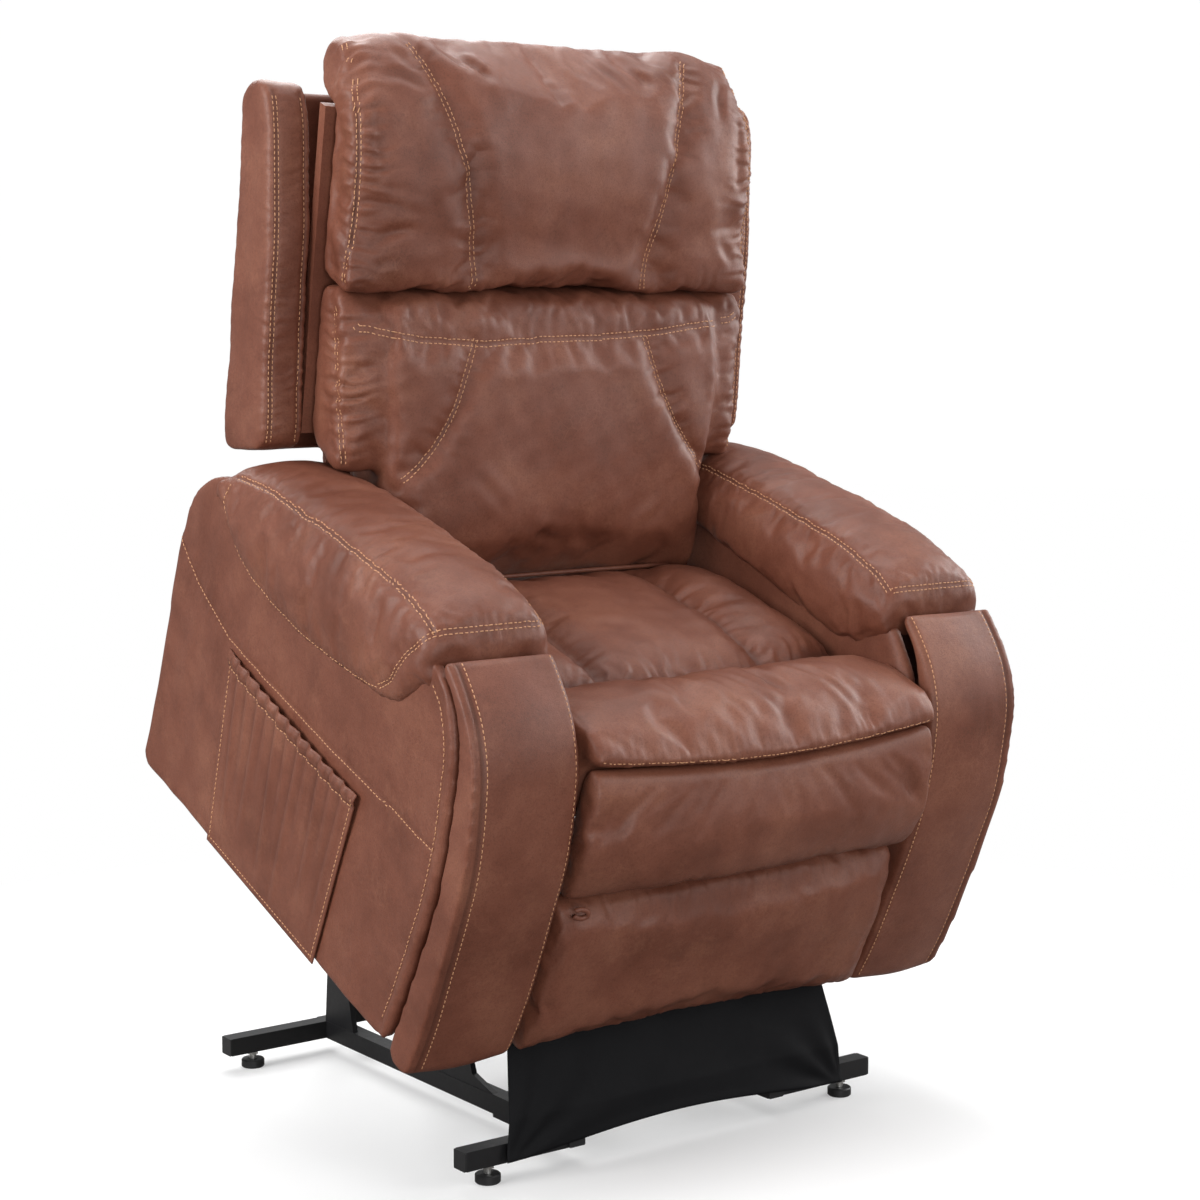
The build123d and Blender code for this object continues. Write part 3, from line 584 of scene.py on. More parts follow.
class Sewing:
    """Collects the stitches of one leather piece."""

    def __init__(self, obj):
        self.tree = surface_tree(obj)
        self.verts, self.faces = [], []

    def place(self, point):
        found, normal, _, _ = self.tree.find_nearest(Vector(point) / 1000)
        return np.array(found) * 1000, np.array(normal)

    def row(self, line, aside=0.0):
        """One row of stitches beside a line; aside is its distance across the leather."""
        line = spaced(line, (STITCH + STITCH_GAP) / 2)
        for k in range(0, len(line) - 2, 2):
            start, n0 = self.place(line[k])
            end, n1 = self.place(line[k + 1] + (line[k + 1] - line[k]) * 0.45)
            run = end - start
            length = np.linalg.norm(run)
            if length < 2 or length > 11:
                continue
            n = n0 + n1
            n /= np.linalg.norm(n)
            across = np.cross(n, run / length)
            across /= np.linalg.norm(across)
            if aside:
                start, _ = self.place(start + across * aside)
                end, _ = self.place(end + across * aside)
                run = end - start
            base = len(self.verts) * len(STITCH_RINGS) * 6
            rings = [start + run * t + n * THREAD_R * up + THREAD_R * fat * (
                np.cos(TURNS)[:, None] * across + np.sin(TURNS)[:, None] * n * 0.8)
                for t, fat, up in STITCH_RINGS]
            self.verts.append(np.concatenate(rings))
            for r in range(len(STITCH_RINGS) - 1):
                for i in range(6):
                    j = (i + 1) % 6
                    self.faces.append([base + r * 6 + i, base + r * 6 + j, base + r * 6 + 6 + j, base
                                       + r * 6 + 6 + i])
            top = base + (len(STITCH_RINGS) - 1) * 6
            self.faces.append([base + i for i in range(6)][::-1])
            self.faces.append([top + i for i in range(6)])
        return self

    def double(self, line, apart=6.5):
        return self.row(line, apart / 2).row(line, -apart / 2)

    def tie(self, name):
        obj = mesh_object(name, np.concatenate(self.verts) / 1000, self.faces)
        obj.data.materials.append(THREAD)
        smooth(obj)
        return obj


def smooth(obj):
    obj.data.polygons.foreach_set("use_smooth", np.ones(len(obj.data.polygons), bool))
    obj.data.update()


def fit(obj, body, *replaced, fill=0.6, pad=True):
    """Tips a finished upright piece into the chair and hands it to its body."""
    obj.data.transform(TO_CHAIR)
    if not obj.data.materials:
        obj.data.materials.append(LEATHER)
    smooth(obj)
    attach(obj, body)
    if replaced:
        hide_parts(*replaced)
    print(obj.name, len(obj.data.polygons), "faces on", body)
    return obj


def fit_sewn(obj, sewing, body, *replaced, fill):
    """Fits a leather piece, and then its stitches, on the same body."""
    fit(obj, body, *replaced, fill=fill)
    fit(sewing.tie(obj.name.replace("_leather", "_stitches")), body, pad=False)


SIDES = ((1, "left"), (-1, "right"))

# %% [markdown]
# ## Side panels
# Each side is a board wrapped in leather over a thin layer of foam. It is nearly flat, rolls
# softly round its front edge, and has a seam that runs back from the front edge and climbs
# to the rear corner. The two sides are mirror images, so one recipe makes both.

# %% Side panels
ARM_OUT, ARM_IN = 441.4, 285.3
FRONT_EDGE = [(3, 8), (-12, 110), (-24, 239), (-19, 310), (-11, 368), (1, 428), (32, 477), (62, 496)]
SIDE_OUTLINE = [(5, 6), *[(y + 1, z) for y, z in FRONT_EDGE[1:]], (95, 500), (581, 500), (648, 471),
                (692, 428), (703, 369), (700, 3)]
SIDE_SEAM = [(702, 358), (631, 322), (529, 293), (440, 288), (262, 287), (120, 288), (0, 292)]


def on_side(line, side, x=ARM_OUT + 2):
    return np.array([(side * x, y, z) for y, z in line], float)


def inset_front(distance):
    """The front edge of the side panel moved back by a distance, for a stitch line."""
    line = rounded(FRONT_EDGE, 60, 12, closed=False)
    back = np.gradient(line, axis=0)
    back /= np.linalg.norm(back, axis=1, keepdims=True)
    return line + np.stack([back[:, 1], -back[:, 0]], 1) * distance


def side_panel(side, suffix):
    body = slab(f"side_panel_{suffix}_leather", rounded(SIDE_OUTLINE, 26, 8),
                *sorted((side * 424.5, side * (ARM_OUT - 0.5))))
    even_skin(body, 6, 4)
    finer(body)
    shape = Shaper(body)
    outer = ease(side * shape.n[:, 0], 0.2, 0.9)
    y, z = shape.p[:, 1], shape.p[:, 2]
    front = np.interp(z, [p[1] for p in FRONT_EDGE], [p[0] for p in FRONT_EDGE])
    roll = np.exp(-((y - front - 10) / 8) ** 2)
    shape.swell(outer * (3.2 * roll + 1.6 * ripple(shape.p, 260, 1) * ease(y - front, 20, 80)
                         + 0.5 * ripple(shape.p, 70, 2)))
    shape.swell(outer * 1.2 * np.exp(-((z - 8) / 14) ** 2))
    seam = on_side(SIDE_SEAM, side)
    edge = on_side(inset_front(21)[2:], side)
    shape.seam(seam, 1.8, 3.2, 0.5).seam(edge, 1.6, 3.0, 0.4)
    shape.pucker(seam, 0.5, 20, 17, seed=3, dark=0.15)
    shape.pucker(edge, 0.5, 16, 19, seed=4, dark=0.15)
    shape.done()
    sewing = Sewing(body)
    sewing.row(seam, side * 3.2).row(edge, 3)
    fit_sewn(body, sewing, "chair", f"side_panel_{suffix}", fill=0.9)


for side, suffix in SIDES:
    side_panel(side, suffix)

# %% [markdown]
# ## Arm posts
# The front of each arm is a tall padded panel that bows forward at the top and sweeps back
# to the floor. Its sides are flat, its face is slightly crowned, and it is piped by a row of
# stitches a finger's width from both long edges.

# %% Arm posts
POST_FACE = [(62, 516), (30, 497), (-8, 468), (-40, 421), (-59, 350), (-69, 290), (-67, 200), (-59, 60),
             (-49, 0), (-38, -9), (-12, -6)]
POST_OUTLINE = [*POST_FACE, (0, 6), *[(y - 2.5, z) for y, z in FRONT_EDGE[1:]], (66, 500)]


def post_line(x):
    """A line down the face of a post at a distance x from the chair's middle."""
    return np.array([(x, y, z) for y, z in rounded(POST_FACE[:-2], 70, 12, closed=False)])


def arm_post(side, suffix):
    body = slab(f"arm_post_{suffix}_leather", rounded(POST_OUTLINE, 30, 7),
                *sorted((side * (ARM_IN + 1), side * (ARM_OUT - 1))))
    even_skin(body, 5, 7)
    finer(body)
    shape = Shaper(body)
    x = np.abs(shape.p[:, 0])
    face = ease(-shape.n[:, 1], 0.25, 0.8)
    shape.swell(4.5 * face * bump(x, ARM_IN - 10, ARM_OUT + 10) + 0.7 * ripple(shape.p, 160, 5))
    shape.seam(post_line(side * (ARM_OUT - 15)), 2.6, 3.2, 0.65)
    shape.seam(post_line(side * (ARM_IN + 6)), 1.2, 3.0, 0.35)
    shape.fold(on_side([(-20, 476), (-44, 440), (-58, 380)], side, 380), 1.0, 9, 0.1)
    shape.done()
    sewing = Sewing(body)
    sewing.row(post_line(side * (ARM_IN + 9))).row(post_line(side * (ARM_OUT - 21)))
    fit_sewn(body, sewing, "chair", f"arm_post_{suffix}", fill=0.8)


for side, suffix in SIDES:
    arm_post(side, suffix)

# %% [markdown]
# ## Arm pads
# The pad is a long pillow that drapes over both sides of the arm, with a flat top panel, two
# long seams, side panels that bulge and tuck under, and a rounded nose.
# It is lofted through cross-sections, so each can follow the pad's changing height.

# %% Arm pads
PAD_TOP = ([70, 84, 95, 124, 202, 354, 512, 600, 628], [500, 531, 543, 553, 560, 549, 530, 508, 494])
PAD_HEM = ([80, 101, 124, 150, 177, 214, 278, 380, 471, 557, 601, 625],
           [478, 449, 420, 406, 407, 397, 389, 381, 381, 409, 452, 490])
PAD_INNER_HEM = ([80, 101, 124, 150, 620], [478, 449, 428, 420, 425])
SEAM_DROP = 13.0
PAD_SEAM_IN, PAD_SEAM_OUT = 282, 438
NOSE_SEAM = [(94, 533), (106, 512), (122, 488), (133, 464), (146, 438), (170, 417)]
HEM_ROW = [(170, 417), (232, 398), (312, 391), (394, 388), (468, 390), (527, 401), (574, 425), (594, 463),
           (588, 492)]


def pad_ring(y, side):
    """The pad's cross-section at y, from the inner hem over the top to the outer hem."""
    top, low, low_in = (np.interp(y, *PAD_TOP), np.interp(y, *PAD_HEM), np.interp(y, *PAD_INNER_HEM))
    nose = math.sqrt(max(0.0, 1 - ((100 - y) / 26.0) ** 2)) if y < 100 else 1.0
    tail = math.sqrt(max(0.0, 1 - ((y - 590) / 36.0) ** 2)) if y > 590 else 1.0
    squeeze = min(nose, tail)
    mid = 461 if y < 300 else 455
    seam = top - SEAM_DROP
    lift = lambda z: mid + (z - mid) * (0.35 + 0.65 * squeeze)
    width = lambda x: 361 + (x - 361) * (0.86 + 0.14 * squeeze)
    outer = [(437, seam + 1), (446, seam - 10), (453.5, seam - 40), (455, 0.5 * (seam + low) - 8),
             (451, low + 20), (445, low + 3), (440, low)]
    inner = [(284, low_in), (276, low_in + 4), (270, low_in + 22), (267.5, 0.5 * (seam + low_in)),
             (270, seam - 30), (276, seam - 9), (283, seam + 1)]
    over = [(300, top - 5), (325, top - 0.5), (361, top + 1.5), (397, top - 0.5), (421, top - 5)]
    inside = [(424, max(low, 470)), (400, 478), (361, 480), (322, 478), (303, max(low_in, 470))]
    ring = inner + over + outer + [(430, low + 1), *inside, (296, low_in + 1)]
    return [(side * width(x), y, lift(z)) for x, z in ring]


def arm_pad(side, suffix):
    stations = [76, 79, 84, 90, 98, 110, 130, 160, 210, 280, 360, 440, 500, 550, 585, 600, 612, 620, 625]
    body = loft(f"arm_pad_{suffix}_leather", [pad_ring(y, side) for y in stations])
    even_skin(body, 7, 5)
    skin = points_of(body) * 1000
    x, y, z = np.abs(skin[:, 0]), skin[:, 1], skin[:, 2]
    top = np.interp(y, *PAD_TOP)
    long_in, long_out = (
        spaced([(side * at, yy, np.interp(yy, *PAD_TOP) - SEAM_DROP) for yy in range(96, 600, 8)], 8)
        for at in (PAD_SEAM_IN, PAD_SEAM_OUT))
    down = np.array([(side * (438 + 14 * min(1, k / 2)), y, z) for k,
                     (y, z) in enumerate(rounded(NOSE_SEAM, 40, 7, closed=False))])
    nose_seam = np.array([(side * xx, 92 - 5 * math.sin(math.pi * (xx - 282) / 156), 534
                           + 3 * math.sin(math.pi * (xx - 282) / 156)) for xx in range(282, 440, 6)])
    held = np.zeros(len(skin))
    for line in (long_in, long_out, nose_seam, down):
        held = np.maximum(held, np.exp(-(along(skin, line)[0] / 9) ** 2))
    held = np.maximum(held, ((x > 296) & (x < 426) & (z < top - 22)) * 1.0)
    held = np.maximum(held, (z < np.interp(y, *PAD_HEM) + 12) * (x > 361) * 0.8)
    stuff(body, held, 4.0, 0.025, 9)
    finer(body)
    shape = Shaper(body)
    for k, line in enumerate((long_in, long_out)):
        shape.seam(line, 2.6, 3.6, 0.6, puff=0.8, puff_width=20)
        shape.pucker(line, 0.9, 26, 21, seed=6 + k, dark=0.25)
    shape.seam(nose_seam, 2.2, 3.4, 0.6, puff=0.8, puff_width=16)
    shape.pucker(nose_seam, 0.9, 18, 14, seed=9, dark=0.3)
    hem = np.array([(side * 452, y, z) for y, z in rounded(HEM_ROW, 40, 8, closed=False)])
    shape.seam(down, 2.4, 3.4, 0.6, puff=1.0, puff_width=14)
    shape.seam(hem, 1.2, 3.0, 0.4)
    shape.pucker(hem, 0.9, 20, 18, seed=11, dark=0.2)
    shape.swell(1.0 * ripple(shape.p, 150, 12) + 0.35 * ripple(shape.p, 45, 13))
    shape.done()
    sewing = Sewing(body)
    sewing.double(long_in).double(long_out).double(nose_seam).double(down, 5.5).row(hem)
    fit_sewn(body, sewing, "chair", f"arm_pad_{suffix}", fill=0.75)


for side, suffix in SIDES:
    arm_pad(side, suffix)

# %% [markdown]
# ## Inner arms and arm backs
# Inside, each arm is a foam-covered panel that meets the seat cushion. Behind, the arms are
# closed by a leather-covered board. Both are plain, so a rounded slab with a little life in
# its skin is enough.

# %% Inner arms and arm backs


def plain_pad(name, outline, x_low, x_high, body, *replaced, voxel=7, life=1.0):
    pad = slab(name, rounded(outline, 14, 8), x_low, x_high)
    even_skin(pad, voxel, 5)
    finer(pad)
    shape = Shaper(pad)
    shape.swell(life * (1.3 * ripple(shape.p, 190, len(name)) + 0.4 * ripple(shape.p, 50, len(name) + 1)))
    shape.done()
    return fit(pad, body, *replaced, fill=0.85)


INNER_ARM = [(62, 27), (640, 27), (640, 420), (560, 488), (70, 488), (20, 440), (8, 380), (4, 300), (10, 120)]
for side, suffix in SIDES:
    plain_pad(f"inner_arm_{suffix}_leather", INNER_ARM, *sorted((side * 281.5, side * 302)), "chair",
              f"inner_arm_panel_{suffix}")

ARM_BACK = [(681, 4), (699, 4), (701, 368), (690, 426), (646, 469), (612, 484), (604, 470), (640, 455),
            (672, 420), (683, 366)]
for side, suffix in SIDES:
    replaced = ("arm_rear_boards", "arm_top_boards") if side == 1 else ()
    plain_pad(f"arm_back_{suffix}_leather", ARM_BACK, *sorted((side * 284, side * 424)), "chair", *replaced,
              voxel=5, life=0.4)

# %% [markdown]
# ## Seat
# The seat is one wide cushion with a high roll at the front, a cross seam behind the roll and
# two long channels that run back from it. The roll is gathered at the cross seam.

# %% Seat cushion
SEAT_OUTLINE = [(-31, 322), (-31, 408), (-50, 412), (-59, 419), (-57, 431), (-40, 445), (-8, 454),
                (28, 456), (60, 449), (88, 434), (112, 414),
                (132, 405), (180, 409), (260, 410), (380, 396), (478, 376), (478, 322)]
HALF_SEAT, HALF_PAD = 274, 277


def belly(x):
    """How far the front of the seat bows out at x: 1 in the middle, 0 at the sides."""
    return np.cos(np.pi * np.clip(x / (2 * HALF_PAD), -0.5, 0.5))


LIP = np.array([(x, -62 - 13 * belly(x), 421 - 12 * belly(x)) for x in range(-268, 269, 7)])


def seat():
    body = slab("seat_cushion_leather", rounded(SEAT_OUTLINE, 24, 8), -HALF_SEAT, HALF_SEAT)
    even_skin(body, 8, 8)
    skin = points_of(body) * 1000
    cross = np.array([(x, 121 + 34 * (x / 268) ** 2, 404 + 4 * (x / 268) ** 2) for x in range(-268, 269, 8)])
    channels = [np.array([(side * (134 + 8 * (y - 120) / 330), y,
                           np.interp(y, [120, 260, 455], [403, 405, 378])) for y in range(122, 452, 8)])
                           for side in (-1, 1)]
    bow = np.zeros_like(skin)
    lip = ease(-skin[:, 1], -60, 40) * belly(skin[:, 0])
    bow[:, 1], bow[:, 2] = -13 * lip, -12 * ease(-skin[:, 1], 0, 50) * belly(skin[:, 0])
    skin = skin + bow
    set_points(body, skin / 1000)
    held = np.maximum((skin[:, 2] < 372) * 1.0, (skin[:, 1] < -20) * (skin[:, 2] < 414) * 1.0)
    for line in (cross, *channels, LIP):
        held = np.maximum(held, np.exp(-(along(skin, line)[0] / 11) ** 2))
    stuff(body, held, 4.5, 0.03, 16)
    finer(body)
    shape = Shaper(body)
    x, y, _ = shape.p.T
    top = ease(shape.n[:, 2], 0.2, 0.8)
    shape.seam(cross, 7.0, 9.0, 0.75, puff=2.0, puff_width=30)
    shape.pucker(cross, 2.4, 34, 24, seed=21, dark=0.3)
    for k, line in enumerate(channels):
        shape.seam(line, 6.0, 8.0, 0.7, puff=2.5, puff_width=30)
        shape.pucker(line, 1.4, 22, 22, seed=23 + k, dark=0.25)
    shape.seam(LIP + (0, 1, -7), 1.5, 4.0, 0.5)
    shape.pucker(LIP, 1.2, 34, 13, seed=27, dark=0.15)
    shape.swell(top * (4.0 * np.exp(-((np.abs(x) - 200) / 45) ** 2)
                       + 5.0 * np.exp(-(x / 80) ** 2)) * ease(y, 120, 180))
    roll = bump(y, -60, 110) * top
    shape.swell(roll * (-7 * (x / 268) ** 4 + 2.4 * ripple(shape.p, 110, 24)))
    shape.swell(1.2 * ripple(shape.p, 140, 25) * top + 0.5 * ripple(shape.p, 45, 26))
    for x0, low, high, lean, d in ((-150, -20, 92, 0.4, 1.6), (-95, -34, 98, 0.5, 2.4),
                                   (-45, -48, 96, 0.55, 2.8), (10, -20, 100, 0.5, 2.2),
                                   (62, -44, 104, 0.6, 3.6),
                                   (105, 0, 100, 0.4, 1.8), (150, -30, 90, 0.3, 1.6)):
        ys = np.linspace(high, low, 12)
        shape.fold(np.array([(x0 + lean * (high - y), y,
                              np.interp(y, [-60, -40, -8, 28, 60, 88, 112],
                                        [425, 445, 454, 456, 449, 434, 414])) for y in ys]), d, 7, 0.25)
    shape.done()
    sewing = Sewing(body).row(LIP)
    fit_sewn(body, sewing, "chair", "seat_cushion", fill=0.7)


seat()

# %% [markdown]
# ## Footrest pads
# Below the seat roll hang two pads: the chaise pad, which folds out under the knees, and the
# pad of the footrest itself. The seam between roll and chaise pad dips in its middle.

# %% Chaise pad and footrest pad
CHAISE_OUTLINE = [(-35, 232), (-35, 407), (-50, 410), (-58, 407), (-68, 392), (-79, 365), (-86, 325),
                  (-86, 290), (-79, 256), (-66, 234), (-55, 230)]
OTTOMAN_OUTLINE = [(-20, -4), (-20, 221), (-40, 224), (-58, 217), (-64, 190), (-66, 120), (-62, 50),
                   (-56, 8), (-46, -5)]


def level_line(y, z):
    """A line across a footrest pad."""
    return np.array([(x, y, z) for x in range(-264, 265, 8)])


def front_pads():
    body = slab("chaise_pad_leather", rounded(CHAISE_OUTLINE, 14, 7), -HALF_PAD, HALF_PAD)
    even_skin(body, 7, 7)
    skin = points_of(body) * 1000
    bow = np.zeros_like(skin)
    bow[:, 1] = -11 * belly(skin[:, 0]) * ease(-skin[:, 1], 30, 60)
    bow[:, 2] = -12 * belly(skin[:, 0]) * ease(skin[:, 2], 330, 400)
    skin = skin + bow
    set_points(body, skin / 1000)
    stuff(body, np.maximum((skin[:, 1] > -42) * 1.0, (skin[:, 2] > 386) * 1.0), 3.5, 0.015, 8)
    finer(body)
    shape = Shaper(body)
    face = ease(-shape.n[:, 1], 0.2, 0.8)
    shape.pucker(level_line(-70, 236), 1.0, 22, 26, seed=32, dark=0.2)
    shape.swell(face * (1.5 * ripple(shape.p, 200, 33) + 0.4 * ripple(shape.p, 60, 34)))
    shape.fold(np.array([(-255, -70, 300), (-235, -86, 345), (-225, -86, 385)]), 2.2, 8, 0.2)
    shape.fold(np.array([(255, -70, 300), (238, -86, 345), (228, -86, 380)]), 2.0, 8, 0.2)
    shape.done()
    fit(body, "chaise", "chaise_pad", fill=0.7)

    body = slab("ottoman_pad_leather", rounded(OTTOMAN_OUTLINE, 22, 7), -HALF_PAD, HALF_PAD)
    even_skin(body, 7, 7)
    skin = points_of(body) * 1000
    stuff(body, (skin[:, 1] > -32) * 1.0, 3.5, 0.02, 8)
    finer(body)
    shape = Shaper(body)
    face = ease(-shape.n[:, 1], 0.2, 0.8)
    shape.pucker(level_line(-58, 218), 1.4, 30, 24, seed=36, dark=0.2)
    shape.pucker(level_line(-56, 2), 1.2, 24, 26, seed=37, dark=0.2)
    shape.swell(face * (1.8 * ripple(shape.p, 180, 38) + 0.5 * ripple(shape.p, 60, 39)))
    shape.done()
    fit(body, "ottoman", "ottoman_pad", fill=0.7)


front_pads()

# %% [markdown]
# ## Back cushions
# The back is two pillows, one above the other. The lower one starts narrow between the arms
# and widens above them. Each pillow has a middle panel and two side panels, joined by curved
# double-stitched seams, and a gusset round its sides, where the leather gathers most.

# %% Back cushions
LUMBAR_MID = [(466, 388), (466, 420), (474, 470), (490, 520), (510, 580), (528, 635), (546, 690),
              (560, 728), (578, 745), (640, 748),
              (655, 735), (600, 480), (562, 320), (520, 330), (480, 360)]
LUMBAR_WIDE = [(520, 532), (524, 560), (540, 610), (560, 662), (574, 705), (584, 735), (600, 746),
               (645, 748), (655, 735), (612, 540), (566, 528), (535, 526)]
HEAD_OUTLINE = [(592, 753), (580, 765), (590, 790), (604, 815), (610, 850), (616, 880), (630, 933),
                (650, 975), (673, 1008), (705, 1038), (735, 1056),
                (762, 1054), (774, 1040), (773, 1020), (752, 988), (728, 970), (704, 966), (702, 962),
                (662, 760), (656, 752)]
LUMBAR_SIDE = [(523, 540), (545, 590), (572, 645), (590, 690), (606, 730)]
HEAD_SIDE = [(600, 765), (606, 800), (611, 845), (622, 900), (640, 950), (668, 1000), (700, 1034),
             (735, 1054)]
LUMBAR_FACE = ([385, 430, 530, 640, 700, 745], [463, 470, 492, 530, 556, 572])
HEAD_FACE = ([748, 775, 814, 860, 933, 1005, 1060], [574, 590, 604, 612, 630, 672, 732])


def on_face(line, face):
    """Points (x, z) laid on the front of a back cushion, whose depth y is known along z."""
    return np.array([(x, np.interp(z, *face) - 10, z) for x, z in line], float)


def both(points, face):
    """The same curve on both sides of the middle."""
    line = rounded(points, 60, 8, closed=False)
    return [on_face(np.stack([s * line[:, 0], line[:, 1]], 1), face) for s in (-1, 1)]


HEAD_CURVE = [(228, 1054), (209, 1025), (186, 975), (166, 905), (152, 840), (140, 773), (144, 757)]
LUMBAR_CURVE = [(142, 706), (160, 658), (180, 612), (210, 570), (236, 545), (262, 528)]
BAND = [(-326, 722), (-230, 706), (-127, 699), (-38, 704), (62, 706), (166, 712), (250, 722), (326, 735)]


def back_cushion(body, face, side_line, curves, crown, seeds, low, high, extra=()):
    """Stuffs and shapes one back pillow; returns its object and its side seams."""
    skin = points_of(body) * 1000
    sides = [np.array([(s * 324, y, z) for y, z in rounded(side_line, 60, 10, closed=False)])
             for s in (-1, 1)]
    held = np.zeros(len(skin))
    depth = np.interp(skin[:, 2], *face)
    held = np.maximum(held, ease(skin[:, 1], depth + 52, depth + 62))
    for line in (*sides, *curves, *extra):
        held = np.maximum(held, 0.9 * np.exp(-(along(skin, line)[0] / 9) ** 2))
    stuff(body, held, 5.0, 0.035, 18)
    finer(body)
    shape = Shaper(body)
    x, y, z = shape.p.T
    front = ease(-shape.n[:, 1], 0.1, 0.7)
    shape.swell(front * crown * (1 - (x / 330) ** 2) * bump(z, low, high))
    for k, line in enumerate(sides):
        shape.seam(line, 3.5, 4.5, 0.7, puff=2.0, puff_width=18)
        shape.pucker(line, 2.6, 34, 19, seed=seeds + k, dark=0.35)
    for k, line in enumerate((*curves, *extra)):
        shape.seam(line, 2.4, 3.6, 0.7, puff=1.8, puff_width=26)
        shape.pucker(line, 0.9, 24, 23, seed=seeds + 4 + k, dark=0.2)
    shape.swell(front * (1.6 * ripple(shape.p, 190, seeds) + 0.5 * ripple(shape.p, 55, seeds + 1)))
    return shape, sides


def lumbar():
    body = fuse("lumbar_cushion_leather", slab("mid", rounded(LUMBAR_MID, 30, 8), -262, 262),
                slab("wide", rounded(LUMBAR_WIDE, 24, 8), -329, 329))
    even_skin(body, 8, 9)
    curves = both(LUMBAR_CURVE, LUMBAR_FACE)
    band = on_face(BAND, LUMBAR_FACE)
    shape, sides = back_cushion(body, LUMBAR_FACE, LUMBAR_SIDE, curves, 7, 41, 380, 760, (band,))
    crease = on_face([(x, 742) for x in range(-320, 321, 16)], LUMBAR_FACE)
    shape.pucker(crease, 1.5, 26, 28, seed=49, dark=0.25)
    for x0, z0, x1, z1, d in ((-150, 540, -90, 480, 2.5), (-60, 470, 20, 432, 3), (120, 450, 190, 500, 2.5),
                              (-210, 500, -235, 440, 2.5), (205, 520, 240, 450, 2.5)):
        shape.fold(on_face([(x0, z0), ((x0 + x1) / 2 + 8, (z0 + z1) / 2 - 6), (x1, z1)], LUMBAR_FACE), d,
                   10, 0.2)
    shape.done()
    sewing = Sewing(body)
    sewing.double(band, 8)
    for line in (*sides, *curves):
        sewing.double(line)
    fit_sewn(body, sewing, "back", "lumbar_cushion", fill=0.7)


def head():
    body = slab("head_cushion_leather", rounded(HEAD_OUTLINE, 26, 8), -329, 329)
    even_skin(body, 8, 9)
    skin = points_of(body) * 1000
    high = ease(skin[:, 2], 930, 1050)
    skin[:, 2] -= 16 * high * (np.abs(skin[:, 0]) / 329) ** 7
    skin[:, 0] *= 1 - 0.035 * high ** 2
    set_points(body, skin / 1000)
    curves = both(HEAD_CURVE, HEAD_FACE)
    shape, sides = back_cushion(body, HEAD_FACE, HEAD_SIDE, curves, 10, 51, 740, 1090)
    crease = on_face([(x, 758) for x in range(-320, 321, 16)], HEAD_FACE)
    shape.pucker(crease, 1.6, 28, 27, seed=59, dark=0.25)
    for x0, z0, x1, z1, d in ((-160, 1056, -95, 985, 5.0), (-185, 1052, -150, 1016, 3.0),
                              (-285, 1020, -215, 1004, 2.6), (-262, 1046, -232, 1024, 2.4),
                              (70, 1052, 105, 1006, 3.2),
                              (20, 1054, 40, 1024, 2.0), (120, 1052, 150, 1018, 2.4),
                              (286, 1034, 262, 985, 2.6), (180, 1050, 205, 1010, 2.2),
                              (-310, 870, -225, 858, 2.6),
                              (-305, 815, -240, 842, 2.2), (-300, 785, -255, 800, 2.0),
                              (300, 800, 262, 832, 2.4)):
        shape.fold(on_face([(x0, z0), ((x0 + x1) / 2 - 5, (z0 + z1) / 2 + 5), (x1, z1)], HEAD_FACE), d, 8,
                   0.22)
    shape.done()
    sewing = Sewing(body)
    for line in (*sides, *curves):
        sewing.double(line)
    fit_sewn(body, sewing, "headrest", "head_cushion", fill=0.75)


lumbar()
head()

# %% [markdown]
# ## Wings and the back's rear skin
# Beside the pillows stand two upright wings. Each is a foam-covered board with a stitched
# seam just inside both edges of its narrow face.
# The rear is a plain tailored skin, pulled tight over the back's frame.

# %% Wings and rear skin
WING_OUTLINE = [(597, 531), (634, 645), (675, 794), (728, 935), (750, 968), (772, 974), (792, 966),
                (811, 940), (778, 808), (718, 552), (699, 482), (650, 505)]
WING_FRONT = [(600, 536), (636, 645), (677, 794), (729, 932), (752, 966)]


def wing(side, suffix):
    body = slab(f"back_wing_{suffix}_leather", rounded(WING_OUTLINE, 26, 7),
                *sorted((side * 342, side * 404)))
    even_skin(body, 5, 7)
    finer(body)
    shape = Shaper(body)
    shape.swell(1.3 * ripple(shape.p, 150, 61) + 0.5 * ripple(shape.p, 50, 62))
    lines = [np.array([(side * x, y - 2, z) for y, z in rounded(WING_FRONT, 60, 10, closed=False)])
             for x in (353, 393)]
    for k, line in enumerate(lines):
        shape.seam(line, 1.8, 3.2, 0.5)
        shape.pucker(line, 0.8, 18, 18, seed=63 + k, dark=0.2)
    shape.done()
    sewing = Sewing(body)
    sewing.double(lines[1], 6).row(lines[0], 0)
    fit_sewn(body, sewing, "back", f"back_wing_{suffix}", fill=0.8)


for side, suffix in SIDES:
    wing(side, suffix)

# %% Rear skin
SHELL_WIDE = [(688, 484), (700, 480), (718, 550), (779, 808), (811, 934), (806, 952), (796, 948),
              (767, 810), (706, 552)]
SHELL_NARROW = [(641, 334), (652, 332), (700, 480), (711, 522), (702, 524), (688, 484)]


